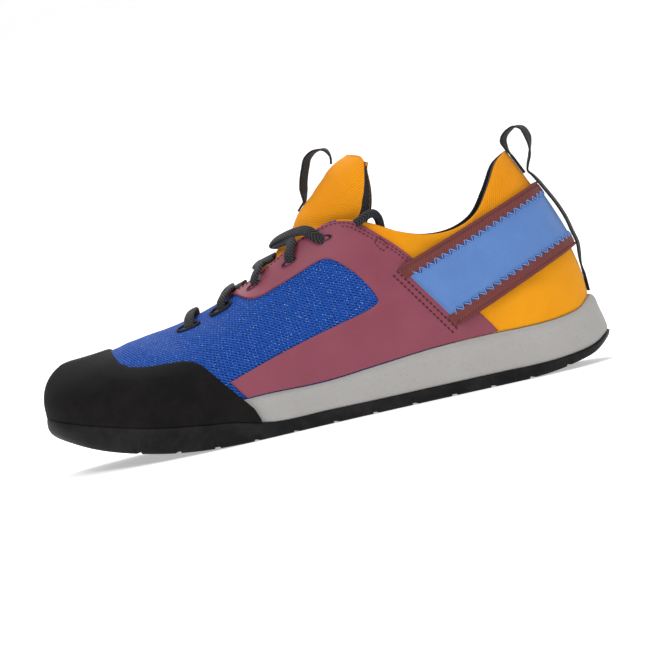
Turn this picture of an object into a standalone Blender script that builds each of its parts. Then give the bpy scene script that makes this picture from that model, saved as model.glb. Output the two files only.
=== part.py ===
"""Approach shoe for the left foot: sole, upper, overlays, toe cap, tongue, heel strap and laces.

Metres, +Z up. The toe points to -X, the outer side of the foot faces -Y, and the sole stands on
z = 0. Every piece of the upper is read from one function, `last`, which gives a point of the
shoe's outer skin and moves it out or in along the skin's own normal.
"""
import math

import bmesh
import bpy
import numpy as np

# Driving dimensions
LENGTH = 0.290            # sole, heel to toe
BALL_WIDTH = 0.105        # sole across the ball of the foot
INSTEP_HEIGHT = 0.100     # ground to the top of the eyestay
TAB_RISE = 0.033          # heel tab above the lowest point of the collar
TOE_SPRING = 0.0215       # toe of the outsole above the ground
HEEL_BEVEL = 0.0105       # back of the outsole above the ground
TREAD = 0.0066            # outsole under the waist
FOAM = 0.0190             # midsole under the heel
WALL = 0.0022             # upper
OVERLAY = 0.0009          # smooth side overlays
CAP = 0.0022              # toe cap
CAP_EDGE = 0.0009         # toe cap where it thins out
INSOLE = 0.0035
GAP = 0.0003              # between pieces that touch
STRAP = 0.0014            # elastic band round the heel
BINDING = 0.0021          # folded binding along the band's edges
WEBBING = 0.0011
WEBBING_WIDTH = 0.0090
TAPE_LOOP = 0.0240        # heel pull loop above the tab, measured along the shoe's height
TONGUE_LOOP = 0.0240      # foot to foot of the tongue's pull loop
TONGUE_PAD = 0.0050
TONGUE_EDGE = 0.0022
LACE_WIDTH = 0.0056
LACE_THICK = 0.0028
SLOT_LENGTH = 0.0076
SLOT_WIDTH = 0.0022
SLIT_WIDTH = 0.0036       # where the heel band goes in behind the overlay
RING_LENGTH = 0.0136
RING_WIDTH = 0.0082
RING_BEAD = 0.0014
RIM = 0.0045              # raised front rim of the outsole
GROOVE_WIDTH = 0.0028
GROOVE_DEPTH = 0.0026
GROOVE_PITCH = 0.0200

HALF = BALL_WIDTH / 2
STATIONS = np.linspace(0.0, 1.0, 29)
RUNGS = np.linspace(0.0, 1.0, 10)

# Sole seen from above: stations from heel to toe, half widths as shares of half the ball width
PLAN_COLUMNS = ("station", "outer", "inner")
PLAN = (
    (0.0, 0.000, 0.000),
    (0.1, 0.370, 0.350),
    (0.2, 0.605, 0.585),
    (0.3, 0.685, 0.645),
    (0.4, 0.715, 0.600),
    (0.5, 0.810, 0.625),
    (0.6, 0.985, 0.850),
    (0.7, 1.000, 1.000),
    (0.8, 0.730, 0.830),
    (0.9, 0.330, 0.510),
    (1.0, -0.110, 0.110),
)

# Sole seen from the side: how far along, lift of toe and heel, thickness of outsole and midsole
SOLE_COLUMNS = ("along", "spring", "bevel", "tread", "foam")
SOLE = (
    (0.000, 0.000, 1.00, 0.62, 1.01),
    (0.030, 0.000, 0.55, 0.66, 1.00),
    (0.070, 0.000, 0.28, 0.73, 1.00),
    (0.110, 0.000, 0.11, 0.85, 1.00),
    (0.165, 0.000, 0.00, 0.97, 1.01),
    (0.300, 0.000, 0.00, 1.00, 0.99),
    (0.400, 0.000, 0.00, 1.00, 0.87),
    (0.500, 0.000, 0.00, 1.05, 0.73),
    (0.620, 0.000, 0.00, 1.22, 0.70),
    (0.670, 0.005, 0.00, 1.72, 0.50),
    (0.720, 0.037, 0.00, 1.92, 0.36),
    (0.810, 0.190, 0.00, 2.02, 0.26),
    (0.920, 0.553, 0.00, 1.92, 0.21),
    (1.000, 1.000, 0.00, 1.41, 0.17),
)

# Upper edge of the skin, from the heel tab round the collar and down the throat to the toe.
# up is a share of the instep height, tab of the tab rise, mid and gap of half the ball width.
CREST_COLUMNS = ("station", "along", "up", "tab", "mid", "gap")
CREST = (
    (0.00, 0.112, 0.810, 1.000, 0.000, 0.000),
    (0.05, 0.121, 0.810, 0.960, 0.000, 0.150),
    (0.10, 0.139, 0.810, 0.830, 0.000, 0.290),
    (0.15, 0.162, 0.810, 0.500, 0.000, 0.405),
    (0.20, 0.191, 0.810, 0.170, 0.000, 0.490),
    (0.25, 0.231, 0.810, 0.010, 0.000, 0.540),
    (0.30, 0.278, 0.812, 0.000, 0.000, 0.557),
    (0.35, 0.326, 0.856, 0.000, 0.000, 0.548),
    (0.40, 0.376, 0.934, 0.000, 0.004, 0.505),
    (0.45, 0.428, 0.980, 0.000, 0.014, 0.440),
    (0.50, 0.479, 0.944, 0.000, 0.024, 0.372),
    (0.60, 0.590, 0.776, 0.000, 0.043, 0.250),
    (0.70, 0.698, 0.662, 0.000, 0.054, 0.125),
    (0.75, 0.748, 0.630, 0.000, 0.060, 0.000),
    (0.80, 0.793, 0.614, 0.000, 0.076, 0.000),
    (0.90, 0.866, 0.574, 0.000, 0.105, 0.000),
    (1.00, 0.910, 0.562, 0.000, 0.114, 0.000),
)

# Shape of the rib that climbs from the sole to the crest at each station: how far its foot stands
# in from the sole's edge and how far it swells (millimetres), then how high its belly and how wide
# its shoulder reach, and how the shoulder hangs below the crest (shares of the rib's own spans)
RIB_COLUMNS = ("station", "inset", "swell", "belly", "shoulder", "hang", "rake")
RIB = (
    (0.00, 7.4, 1.2, 0.33, 0.36, 0.25, 1.0),
    (0.10, 6.6, 2.2, 0.34, 0.34, 0.27, 1.0),
    (0.20, 5.2, 3.0, 0.36, 0.30, 0.30, 1.0),
    (0.30, 4.6, 2.6, 0.38, 0.32, 0.34, 1.0),
    (0.40, 4.4, 1.6, 0.42, 0.42, 0.34, 1.0),
    (0.50, 4.2, 0.8, 0.46, 0.50, 0.24, 0.8),
    (0.60, 3.6, 0.6, 0.50, 0.48, 0.18, 0.5),
    (0.70, 3.3, 0.8, 0.54, 0.46, 0.12, 0.1),
    (0.76, 3.2, 0.8, 0.56, 0.50, 0.02, 0.0),
    (0.85, 3.0, 1.0, 0.58, 0.60, 0.00, 0.0),
    (0.93, 2.9, 1.0, 0.62, 0.62, 0.00, 0.5),
    (1.00, 2.8, 0.6, 0.62, 0.62, 0.00, 1.0),
)

# Top edge of the toe cap seen from the side, down to its rear tip by the outsole
CAP_LINE_COLUMNS = ("along", "up")
CAP_LINE = (
    (0.8640, 0.640),
    (0.8630, 0.584),
    (0.8545, 0.547),
    (0.8455, 0.511),
    (0.8295, 0.485),
    (0.8010, 0.469),
    (0.7360, 0.461),
    (0.7190, 0.448),
    (0.7060, 0.424),
    (0.6920, 0.374),
    (0.6710, 0.296),
    (0.6455, 0.202),
    (0.6340, 0.157),
    (0.6260, 0.090),
)

# Side overlay seen from the side: its outer edge and its inner edge, from the tip of the eyestay
# round the back of the mesh window to the front of the lower arm
OVERLAY_COLUMNS = ("outer_along", "outer_up", "inner_along", "inner_up")
OVERLAY_LINES = (
    (0.643, 0.738, 0.638, 0.727),
    (0.614, 0.762, 0.624, 0.716),
    (0.590, 0.790, 0.606, 0.689),
    (0.562, 0.836, 0.586, 0.687),
    (0.528, 0.892, 0.552, 0.718),
    (0.486, 0.950, 0.510, 0.761),
    (0.450, 0.996, 0.476, 0.796),
    (0.424, 1.000, 0.460, 0.801),
    (0.399, 0.958, 0.446, 0.784),
    (0.361, 0.861, 0.429, 0.740),
    (0.329, 0.767, 0.413, 0.688),
    (0.290, 0.625, 0.397, 0.617),
    (0.252, 0.485, 0.388, 0.558),
    (0.222, 0.377, 0.389, 0.536),
    (0.197, 0.270, 0.396, 0.522),
    (0.272, 0.240, 0.418, 0.500),
    (0.362, 0.228, 0.459, 0.473),
    (0.459, 0.205, 0.514, 0.436),
    (0.548, 0.195, 0.569, 0.395),
    (0.610, 0.200, 0.624, 0.347),
    (0.641, 0.198, 0.664, 0.311),
)
OVERLAY_CORNER = 14

# Heel band seen from the side: ends of its lower and upper edge at the overlay and at the heel
BAND_COLUMNS = ("slit_along", "slit_up", "heel_along", "heel_up")
BAND = (
    (0.260, 0.339, 0.0335, 0.594),
    (0.340, 0.682, 0.0797, 0.945),
)
BINDING_SHARE = 0.175

# Lace places seen from the side: two ringed holes in the mesh, then three slots in the eyestay
EYELET_COLUMNS = ("along", "up", "ringed")
EYELETS = (
    (0.717, 0.611, True),
    (0.656, 0.665, True),
    (0.590, 0.740, False),
    (0.522, 0.817, False),
    (0.455, 0.899, False),
)

# Laces: side each strand starts on, its first and last eyelet, how far across it goes (1 is over
# the other eyelet), how it leads towards it along the shoe, and how high it bows (millimetres)
LACE_COLUMNS = ("piece", "side", "first", "final", "reach", "lead", "bow")
LACES = (
    ("lace_bar", -1, 0, 0, 1.00, 1.0, 0.4),
    ("lace_crossing_1", -1, 1, 2, 0.36, 1.0, 0.4),
    ("lace_crossing_1", 1, 1, 2, 0.36, 1.0, 1.6),
    ("lace_crossing_2", 1, 2, 3, 0.36, 1.0, 0.4),
    ("lace_crossing_2", -1, 2, 3, 0.36, 1.0, 1.6),
    ("lace_crossing_3", -1, 3, 4, 0.36, 1.4, 0.4),
    ("lace_crossing_3", -1, 4, 3, 0.40, 0.6, 2.2),
)
THROAT_EDGE = 0.55        # of the way from the tongue's middle to the eyelets

# Free end of the lace on the outer side: along, up and outward (shares of the named sizes), from
# the rear edge of the overlay over the collar and down inside it
LACE_END_COLUMNS = ("along", "up", "out")
LACE_END = (
    (0.398, 0.940, -0.560),
    (0.386, 0.957, -0.555),
    (0.374, 0.972, -0.530),
    (0.363, 0.972, -0.480),
    (0.357, 0.945, -0.430),
    (0.356, 0.890, -0.420),
    (0.358, 0.820, -0.430),
    (0.362, 0.740, -0.450),
    (0.367, 0.660, -0.470),
)

# Heel tape down the back of the shoe: height on the heel's rib, stand-off in millimetres
TAPE_BACK_COLUMNS = ("height", "stand_off")
TAPE_BACK = (
    (0.80, 2.9),
    (0.76, 3.5),
    (0.71, 4.1),
    (0.65, 4.5),
    (0.55, 5.2),
    (0.45, 5.2),
    (0.37, 4.5),
    (0.30, 4.1),
    (0.25, 2.7),
    (0.19, 1.3),
    (0.12, 1.0),
    (0.02, 1.0),
)

# Heel pull loop above the tab: backward and upward, as shares of the loop's height
TAPE_LOOP_COLUMNS = ("back", "rise")
TAPE_LOOP_LINE = (
    (-0.02, 0.08),
    (-0.04, 0.18),
    (0.02, 0.30),
    (0.12, 0.38),
    (0.26, 0.43),
    (0.40, 0.38),
    (0.48, 0.22),
    (0.49, 0.02),
    (0.44, -0.22),
    (0.36, -0.42),
)

# Tongue: middle of each cross row, then its side edge above the collar
TONGUE_COLUMNS = ("station", "along", "up", "edge_along", "edge_up", "edge_out")
TONGUE = (
    (0.80, 0.776, 0.586, 0.0, 0.0, 0.0),
    (0.75, 0.741, 0.598, 0.0, 0.0, 0.0),
    (0.70, 0.697, 0.632, 0.0, 0.0, 0.0),
    (0.65, 0.652, 0.678, 0.0, 0.0, 0.0),
    (0.60, 0.607, 0.752, 0.0, 0.0, 0.0),
    (0.55, 0.562, 0.838, 0.0, 0.0, 0.0),
    (0.50, 0.526, 0.930, 0.0, 0.0, 0.0),
    (0.00, 0.478, 1.085, 0.415, 0.850, 0.330),
    (0.00, 0.438, 1.190, 0.370, 0.985, 0.385),
    (0.00, 0.408, 1.262, 0.359, 1.120, 0.385),
    (0.00, 0.385, 1.290, 0.358, 1.232, 0.300),
)

SHOULDER_TURN = math.radians(52)    # where the shoulder lies on the quarter turn to the edge

# Tongue's pull loop: along the tongue and out from it, as shares of the distance between its feet
TONGUE_LOOP_COLUMNS = ("along", "out")
TONGUE_LOOP_LINE = (
    (0.04, 0.03),
    (0.16, 0.14),
    (0.33, 0.27),
    (0.56, 0.40),
    (0.77, 0.49),
    (0.99, 0.45),
    (1.13, 0.30),
    (1.08, 0.12),
    (0.97, 0.02),
)


def column(table, columns, name):
    """One named column of a table as an array."""
    return np.array([row[columns.index(name)] for row in table], float)


def smooth(at, knots, values, level_ends=True):
    """Read a smooth curve through (knots, values): a cubic between each two rows, whose slope at a
    row is that of its neighbours. Level ends start and stop with no slope."""
    knots, values = np.asarray(knots, float), np.asarray(values, float)
    at = np.clip(np.asarray(at, float), knots[0], knots[-1])
    slopes = np.gradient(values, knots, axis=0)
    if level_ends:
        slopes[0] = slopes[-1] = 0.0
    cell = np.clip(np.searchsorted(knots, at, side="right") - 1, 0, len(knots) - 2)
    step = (knots[cell + 1] - knots[cell])
    t = (at - knots[cell]) / step
    if values.ndim > 1:
        step, t = step[..., None], t[..., None]
    rise = t * t * (3 - 2 * t)
    lead = t * (1 - t) ** 2 * step
    trail = -t * t * (1 - t) * step
    return (values[cell] * (1 - rise) + values[cell + 1] * rise
            + slopes[cell] * lead + slopes[cell + 1] * trail)


def through(points, count):
    """A smooth curve through points, read at evenly spaced places of its own length."""
    points = np.asarray(points, float)
    reach = np.concatenate([[0.0], np.cumsum(np.linalg.norm(np.diff(points, axis=0), axis=1))])
    return smooth(np.linspace(0.0, reach[-1], count), reach, points, level_ends=False)


def unit(vectors):
    """Vectors at length one."""
    return vectors / np.maximum(np.linalg.norm(vectors, axis=-1, keepdims=True), 1e-12)


def along_of(station):
    """Share of the length at a station: stations bunch up at heel and toe like a cosine."""
    return (1 - np.cos(np.pi * station)) / 2


def x_of(along):
    """Place along the shoe: the heel's back is at +half the length."""
    return LENGTH * (0.5 - along)


def sole_curve(name, along):
    """One column of the side table of the sole, read smoothly and kept from dipping below 0."""
    return np.maximum(smooth(along, column(SOLE, SOLE_COLUMNS, "along"),
                             column(SOLE, SOLE_COLUMNS, name), False), 0.0)


def ground(along):
    """Underside of the outsole: flat between the heel's bevel and the toe's spring."""
    return TOE_SPRING * sole_curve("spring", along) + HEEL_BEVEL * sole_curve("bevel", along)


def border(along):
    """Edge between outsole and midsole."""
    return ground(along) + TREAD * sole_curve("tread", along)


def seat(along):
    """Top of the midsole, where the upper stands."""
    return border(along) + FOAM * sole_curve("foam", along)


def outline(around, inset):
    """Edge of the sole from above, moved in by inset. around is minus the station on the outer
    side and the station on the inner side."""
    def edge(where):
        where = (np.asarray(where, float) + 1) % 2 - 1
        station = np.abs(where)
        outer = smooth(station, column(PLAN, PLAN_COLUMNS, "station"),
                       column(PLAN, PLAN_COLUMNS, "outer"), False)
        inner = smooth(station, column(PLAN, PLAN_COLUMNS, "station"),
                       column(PLAN, PLAN_COLUMNS, "inner"), False)
        out = HALF * np.where(where < 0, -outer, inner)
        return np.stack([x_of(along_of(station)), out], axis=-1)
    step = 1e-3
    ahead = edge(around + step) - edge(around - step)
    outward = unit(np.stack([ahead[..., 1], -ahead[..., 0]], axis=-1))
    return edge(around) - outward * np.asarray(inset)[..., None], outward


def rib_curve(name, station):
    """One column of the rib table."""
    return smooth(station, column(RIB, RIB_COLUMNS, "station"), column(RIB, RIB_COLUMNS, name))


def crest(around):
    """Upper edge of the skin."""
    around = (np.asarray(around, float) + 1) % 2 - 1
    station = np.abs(around)
    rows = {name: smooth(station, column(CREST, CREST_COLUMNS, "station"),
                         column(CREST, CREST_COLUMNS, name), name != "gap")
            for name in CREST_COLUMNS[1:]}
    out = rows["mid"] + np.sign(around) * np.maximum(rows["gap"], 0.0)
    return np.stack([x_of(rows["along"]), HALF * out,
                     INSTEP_HEIGHT * rows["up"] + TAB_RISE * rows["tab"]], axis=-1)


def foot_inset(station):
    """How far the upper stands in from the sole's edge."""
    return rib_curve("inset", station) * 1e-3


def skin(around, height):
    """Point of the skin: a cubic rib from the foot (height 0) to the crest (height 1)."""
    around, height = np.broadcast_arrays(np.asarray(around, float), np.asarray(height, float))
    station = np.abs((around + 1) % 2 - 1)
    plan, outward = outline(around, foot_inset(station))
    foot = np.concatenate([plan, (seat(along_of(station)) + GAP)[..., None]], axis=-1)
    top = crest(around)
    span = foot - top
    rise = -span[..., 2]
    lift = rib_curve("belly", station) * rise
    swell = rib_curve("swell", station) * 1e-3
    low = foot + np.concatenate([outward * swell[..., None], lift[..., None]], axis=-1)
    reach = rib_curve("shoulder", station)
    high = top + np.stack([span[..., 0] * reach * rib_curve("rake", station),
                           span[..., 1] * reach,
                           -rise * rib_curve("hang", station)], axis=-1)
    t = height[..., None]
    return (foot * (1 - t) ** 3 + 3 * low * t * (1 - t) ** 2
            + 3 * high * t * t * (1 - t) + top * t ** 3)


def last(around, height, offset=0.0):
    """Point of the skin moved out along its normal by offset."""
    around, height = np.broadcast_arrays(np.asarray(around, float), np.asarray(height, float))
    step = 2e-3
    below = np.clip(height, step, 0.985)
    along = skin(around + step, below) - skin(around - step, below)
    up = skin(around, below + step) - skin(around, below - step)
    normal = unit(np.cross(along, up))
    return skin(around, height) + normal * np.asarray(offset, float)[..., None]


def rib_height_at(around, line):
    """Height at which the rib at each place first rises over line(x), 1 where it never does."""
    heights = np.linspace(0.0, 1.0, 161)
    points = skin(np.asarray(around, float)[..., None], heights)
    over = points[..., 2] - line(points[..., 0])
    crossed = over >= 0
    first = np.where(crossed.any(axis=-1), crossed.argmax(axis=-1), len(heights) - 1)
    before = np.maximum(first - 1, 0)
    low = np.take_along_axis(over, before[..., None], -1)[..., 0]
    high = np.take_along_axis(over, first[..., None], -1)[..., 0]
    share = np.where(high - low > 1e-9, np.clip(-low / np.maximum(high - low, 1e-9), 0, 1), 1.0)
    return np.where(crossed.any(axis=-1), heights[before] + (heights[first] - heights[before])
                    * share, 1.0)


def on_skin(along, up, side):
    """Station and height of the skin point that is seen from the side at (along, up)."""
    target = np.stack([x_of(np.asarray(along, float)),
                       INSTEP_HEIGHT * np.asarray(up, float)], axis=-1)
    stations, heights = np.linspace(0.05, 0.95, 91), np.linspace(0.0, 1.0, 61)
    table = skin(side * stations[:, None], heights[None, :])[..., [0, 2]]
    apart = np.linalg.norm(table[None] - target[:, None, None], axis=-1).reshape(len(target), -1)
    best = apart.argmin(axis=1)
    station, height = stations[best // len(heights)], heights[best % len(heights)]
    step = 1e-3
    for _ in range(6):
        here = skin(side * station, height)[:, [0, 2]]
        by_station = (skin(side * (station + step), height)[:, [0, 2]] - here) / step
        by_height = (skin(side * station, height + step)[:, [0, 2]] - here) / step
        miss = target - here
        det = by_station[:, 0] * by_height[:, 1] - by_station[:, 1] * by_height[:, 0]
        det = np.where(np.abs(det) < 1e-5, 1e-5, det)
        move_s = (miss[:, 0] * by_height[:, 1] - miss[:, 1] * by_height[:, 0]) / det
        move_h = (by_station[:, 0] * miss[:, 1] - by_station[:, 1] * miss[:, 0]) / det
        station = np.clip(station + np.clip(move_s, -0.02, 0.02), 0.05, 0.95)
        height = np.clip(height + np.clip(move_h, -0.05, 0.05), 0.0, 1.0)
    return station, height


def material(name, colour, roughness, metallic=0.0):
    """A plain finish for one kind of piece."""
    made = bpy.data.materials.new(name)
    made.use_nodes = True
    shader = made.node_tree.nodes["Principled BSDF"]
    shader.inputs["Base Color"].default_value = (*colour, 1.0)
    shader.inputs["Roughness"].default_value = roughness
    shader.inputs["Metallic"].default_value = metallic
    return made


def piece(name, points, faces, finish):
    """An object from points and faces: coincident points are merged, faces point out."""
    mesh = bpy.data.meshes.new(name)
    mesh.from_pydata([tuple(p) for p in np.asarray(points, float)], [], faces)
    shape = bmesh.new()
    shape.from_mesh(mesh)
    bmesh.ops.remove_doubles(shape, verts=shape.verts, dist=2e-6)
    bmesh.ops.dissolve_degenerate(shape, dist=1e-7, edges=shape.edges)
    bmesh.ops.recalc_face_normals(shape, faces=shape.faces)
    shape.to_mesh(mesh)
    shape.free()
    mesh.materials.append(finish)
    mesh.shade_smooth()
    mesh.set_sharp_from_angle(angle=math.radians(40))
    made = bpy.data.objects.new(name, mesh)
    bpy.context.scene.collection.objects.link(made)
    return made


def grid_faces(rows, columns, start=0, around=False):
    """Quads of a grid of rows x columns points numbered from start, closed in its rows or not."""
    faces = []
    for i in range(rows if around else rows - 1):
        for j in range(columns - 1):
            a, b = start + i * columns + j, start + (i + 1) % rows * columns + j
            faces.append((a, b, b + 1, a + 1))
    return faces


def slab(name, low, high, finish):
    """A closed plate between two grids of the same size."""
    rows, columns = low.shape[:2]
    count = rows * columns
    faces = grid_faces(rows, columns) + grid_faces(rows, columns, count)
    edge = ([i * columns for i in range(rows)]
            + [(rows - 1) * columns + j for j in range(1, columns)]
            + [i * columns + columns - 1 for i in range(rows - 2, -1, -1)]
            + list(range(columns - 2, 0, -1)))
    for a, b in zip(edge, edge[1:] + edge[:1]):
        faces.append((a, b, b + count, a + count))
    return piece(name, np.concatenate([low.reshape(-1, 3), high.reshape(-1, 3)]), faces, finish)


def loft(name, rings, finish):
    """A solid through closed rings whose first and last have shrunk to a line."""
    count, size = rings.shape[:2]
    faces = []
    for i in range(count - 1):
        for j in range(size):
            k = (j + 1) % size
            faces.append((i * size + j, (i + 1) * size + j, (i + 1) * size + k, i * size + k))
    return piece(name, rings.reshape(-1, 3), faces, finish)


def across(profile):
    """Rings of a sole piece: profile(around) gives the rows of one side, outside in, from the
    lower middle to the upper middle. The other side closes the ring."""
    outer, inner = profile(-STATIONS), profile(STATIONS)
    for side in (0, -1):
        middle = (outer[side] + inner[side]) / 2
        outer[side], inner[side] = middle, middle
    return np.concatenate([outer, inner[:, ::-1]], axis=1)


def stack(around, rows):
    """Points of one side of a sole piece: rows of (inset, height) at each place."""
    station = np.abs(around)
    return np.stack([np.concatenate([outline(around, np.broadcast_to(inset, station.shape))[0],
                                     np.broadcast_to(height, station.shape)[..., None]], axis=-1)
                     for inset, height in rows], axis=1)


def strand(name, points, normals, finish, count=13):
    """A flat lace swept along a smooth curve, its width square to the given normals."""
    sides = 6
    path = through(points, count)
    up = unit(through(normals, count))
    ahead = unit(np.gradient(path, axis=0))
    side = unit(np.cross(ahead, up))
    up = np.cross(side, ahead)
    turns = np.linspace(0, 2 * np.pi, sides, endpoint=False)
    ring = (path[:, None] + side[:, None] * (np.cos(turns) * LACE_WIDTH / 2)[None, :, None]
            + up[:, None] * (np.sin(turns) * LACE_THICK / 2)[None, :, None])
    faces = []
    for i in range(count - 1):
        for j in range(sides):
            k = (j + 1) % sides
            faces.append((i * sides + j, (i + 1) * sides + j, (i + 1) * sides + k, i * sides + k))
    faces.append(tuple(range(sides)))
    faces.append(tuple(range((count - 1) * sides, count * sides)))
    return piece(name, ring.reshape(-1, 3), faces, finish)


def combine(target, cutter, operation):
    """Apply a Boolean with another object, which is then removed."""
    step = target.modifiers.new("combine", "BOOLEAN")
    step.operation = operation
    step.solver = "EXACT"
    step.object = cutter
    view = bpy.context.evaluated_depsgraph_get()
    view.update()
    result = bpy.data.meshes.new_from_object(target.evaluated_get(view))
    target.modifiers.clear()
    target.data = result
    bpy.data.objects.remove(cutter)


def block(name, centre, ahead, side, up, finish):
    """A box from its centre and its three half axes."""
    corners = [centre + ahead * a + side * b + up * c
               for a in (-1, 1) for b in (-1, 1) for c in (-1, 1)]
    faces = [(0, 1, 3, 2), (4, 6, 7, 5), (0, 4, 5, 1), (2, 3, 7, 6), (0, 2, 6, 4), (1, 5, 7, 3)]
    return piece(name, np.array(corners), faces, finish)


def side_frame(along, up, side):
    """Point, outward normal and direction of rising along the throat at a place on one side."""
    station, height = on_skin([along], [up], side)
    here = last(side * station, height)[0]
    normal = unit(last(side * station, height, 0.001)[0] - here)
    ahead = last(side * (station - 0.02), height)[0] - here
    ahead = unit(ahead - normal * np.dot(ahead, normal))
    return here, normal, ahead


def make_outsole(finish):
    """Rubber sole: a plate with a raised rim in front, and transverse and lengthwise grooves."""
    def profile(around):
        along = along_of(np.abs(around))
        low, top = ground(along), border(along)
        floor = np.minimum(low + TREAD, top)
        bevel, edge = TREAD * 0.35, TREAD * 0.55
        return stack(around, [(0.42 * HALF, low), (bevel, low), (0.0, low + edge),
                              (0.0006, top), (RIM, top), (RIM + 0.0006, floor),
                              (0.30 * HALF, floor)])
    made = loft("outsole", across(profile), finish)
    starts = np.arange(x_of(0.845), x_of(0.055), GROOVE_PITCH)
    for x in starts:
        z = float(ground(np.array(0.5 - x / LENGTH)))
        cut = block("groove", np.array([x, 0.0, z - 0.002 + GROOVE_DEPTH / 2]),
                    np.array([GROOVE_WIDTH / 2, 0.0, 0.0]),
                    np.array([0.006, BALL_WIDTH, 0.0]),
                    np.array([0.0, 0.0, GROOVE_DEPTH / 2 + 0.002]), finish)
        combine(made, cut, "DIFFERENCE")
    reach = x_of(0.10) - x_of(0.68)
    for share in (-0.42, 0.30):
        cut = block("groove", np.array([x_of(0.39), share * HALF, GROOVE_DEPTH / 2 - 0.002]),
                    np.array([reach / 2, 0.0, 0.0]), np.array([0.0, GROOVE_WIDTH / 2, 0.0]),
                    np.array([0.0, 0.0, GROOVE_DEPTH / 2 + 0.002]), finish)
        combine(made, cut, "DIFFERENCE")
    return made


def make_midsole(finish):
    """Foam wedge: flared and open to view behind the toe cap, set in and thin inside it."""
    def profile(around):
        station = np.abs(around)
        along = along_of(station)
        foot = foot_inset(station)
        seen = np.clip((0.628 - along) / 0.04, 0, 1)
        seen = seen * seen * (3 - 2 * seen)
        hidden = foot + GAP / 2
        low, top = border(along) + 2 * GAP, seat(along)
        floor = np.minimum(ground(along) + TREAD, border(along)) + 3 * GAP
        lip = hidden * (1 - seen) + (foot - 0.0013) * seen
        waist = hidden * (1 - seen) + (foot * 0.30 - 0.0003) * seen
        heel = hidden * (1 - seen) + 0.0007 * seen
        inside = RIM + 0.0012
        return stack(around, [(0.30 * HALF, floor), (inside + 0.0006, floor), (inside, low + GAP),
                              (heel, low), (waist, low + (top - low) * 0.45),
                              ((lip + waist) / 2, low + (top - low) * 0.80),
                              (lip, top), (foot + WALL, top), (0.36 * HALF, top)])
    return loft("midsole", across(profile), finish)


def make_insole(finish):
    """Footbed inside the upper."""
    def profile(around):
        station = np.abs(around)
        along = along_of(station)
        edge = foot_inset(station) + WALL + 0.0012
        low = seat(along) + 3 * GAP
        return stack(around, [(0.36 * HALF, low), (edge, low), (edge, low + INSOLE * 0.7),
                              (edge + 0.0012, low + INSOLE), (0.38 * HALF, low + INSOLE)])
    return loft("insole", across(profile), finish)


def make_upper(finish):
    """One hollow shell: the skin, the same skin moved in by the wall, and rims between them."""
    rows = len(RUNGS)
    around = np.concatenate([-STATIONS, STATIONS[-2:0:-1]])
    count = len(around)
    inner_twin = {i: count - i for i in range(1, len(STATIONS) - 1)}
    closed = np.abs(crest(around)[:, 1] - crest(-around)[:, 1]) < 1e-9
    layers = []
    for offset in (0.0, -WALL):
        layer = last(around[:, None], RUNGS[None, :], offset)
        for a, b in inner_twin.items():
            if closed[a]:
                middle = (layer[a, -1] + layer[b, -1]) / 2
                layer[a, -1], layer[b, -1] = middle, middle
        layers.append(layer)
    layers[1][:, 0, 2] = layers[0][:, 0, 2]
    size = count * rows
    faces = grid_faces(count, rows, 0, True) + grid_faces(count, rows, size, True)
    for i in range(count):
        j = (i + 1) % count
        a, b = i * rows, j * rows
        faces.append((a, b, b + size, a + size))
        if not (closed[i] and closed[j]):
            a, b = a + rows - 1, b + rows - 1
            faces.append((a, b, b + size, a + size))
    return piece("upper", np.concatenate([layer.reshape(-1, 3) for layer in layers]), faces, finish)


def cap_edge(x):
    """Height of the toe cap's top edge at a place along the shoe."""
    line_x = x_of(column(CAP_LINE, CAP_LINE_COLUMNS, "along"))
    line_z = INSTEP_HEIGHT * column(CAP_LINE, CAP_LINE_COLUMNS, "up")
    return np.interp(x, line_x, line_z, left=1.0, right=0.0)


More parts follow.
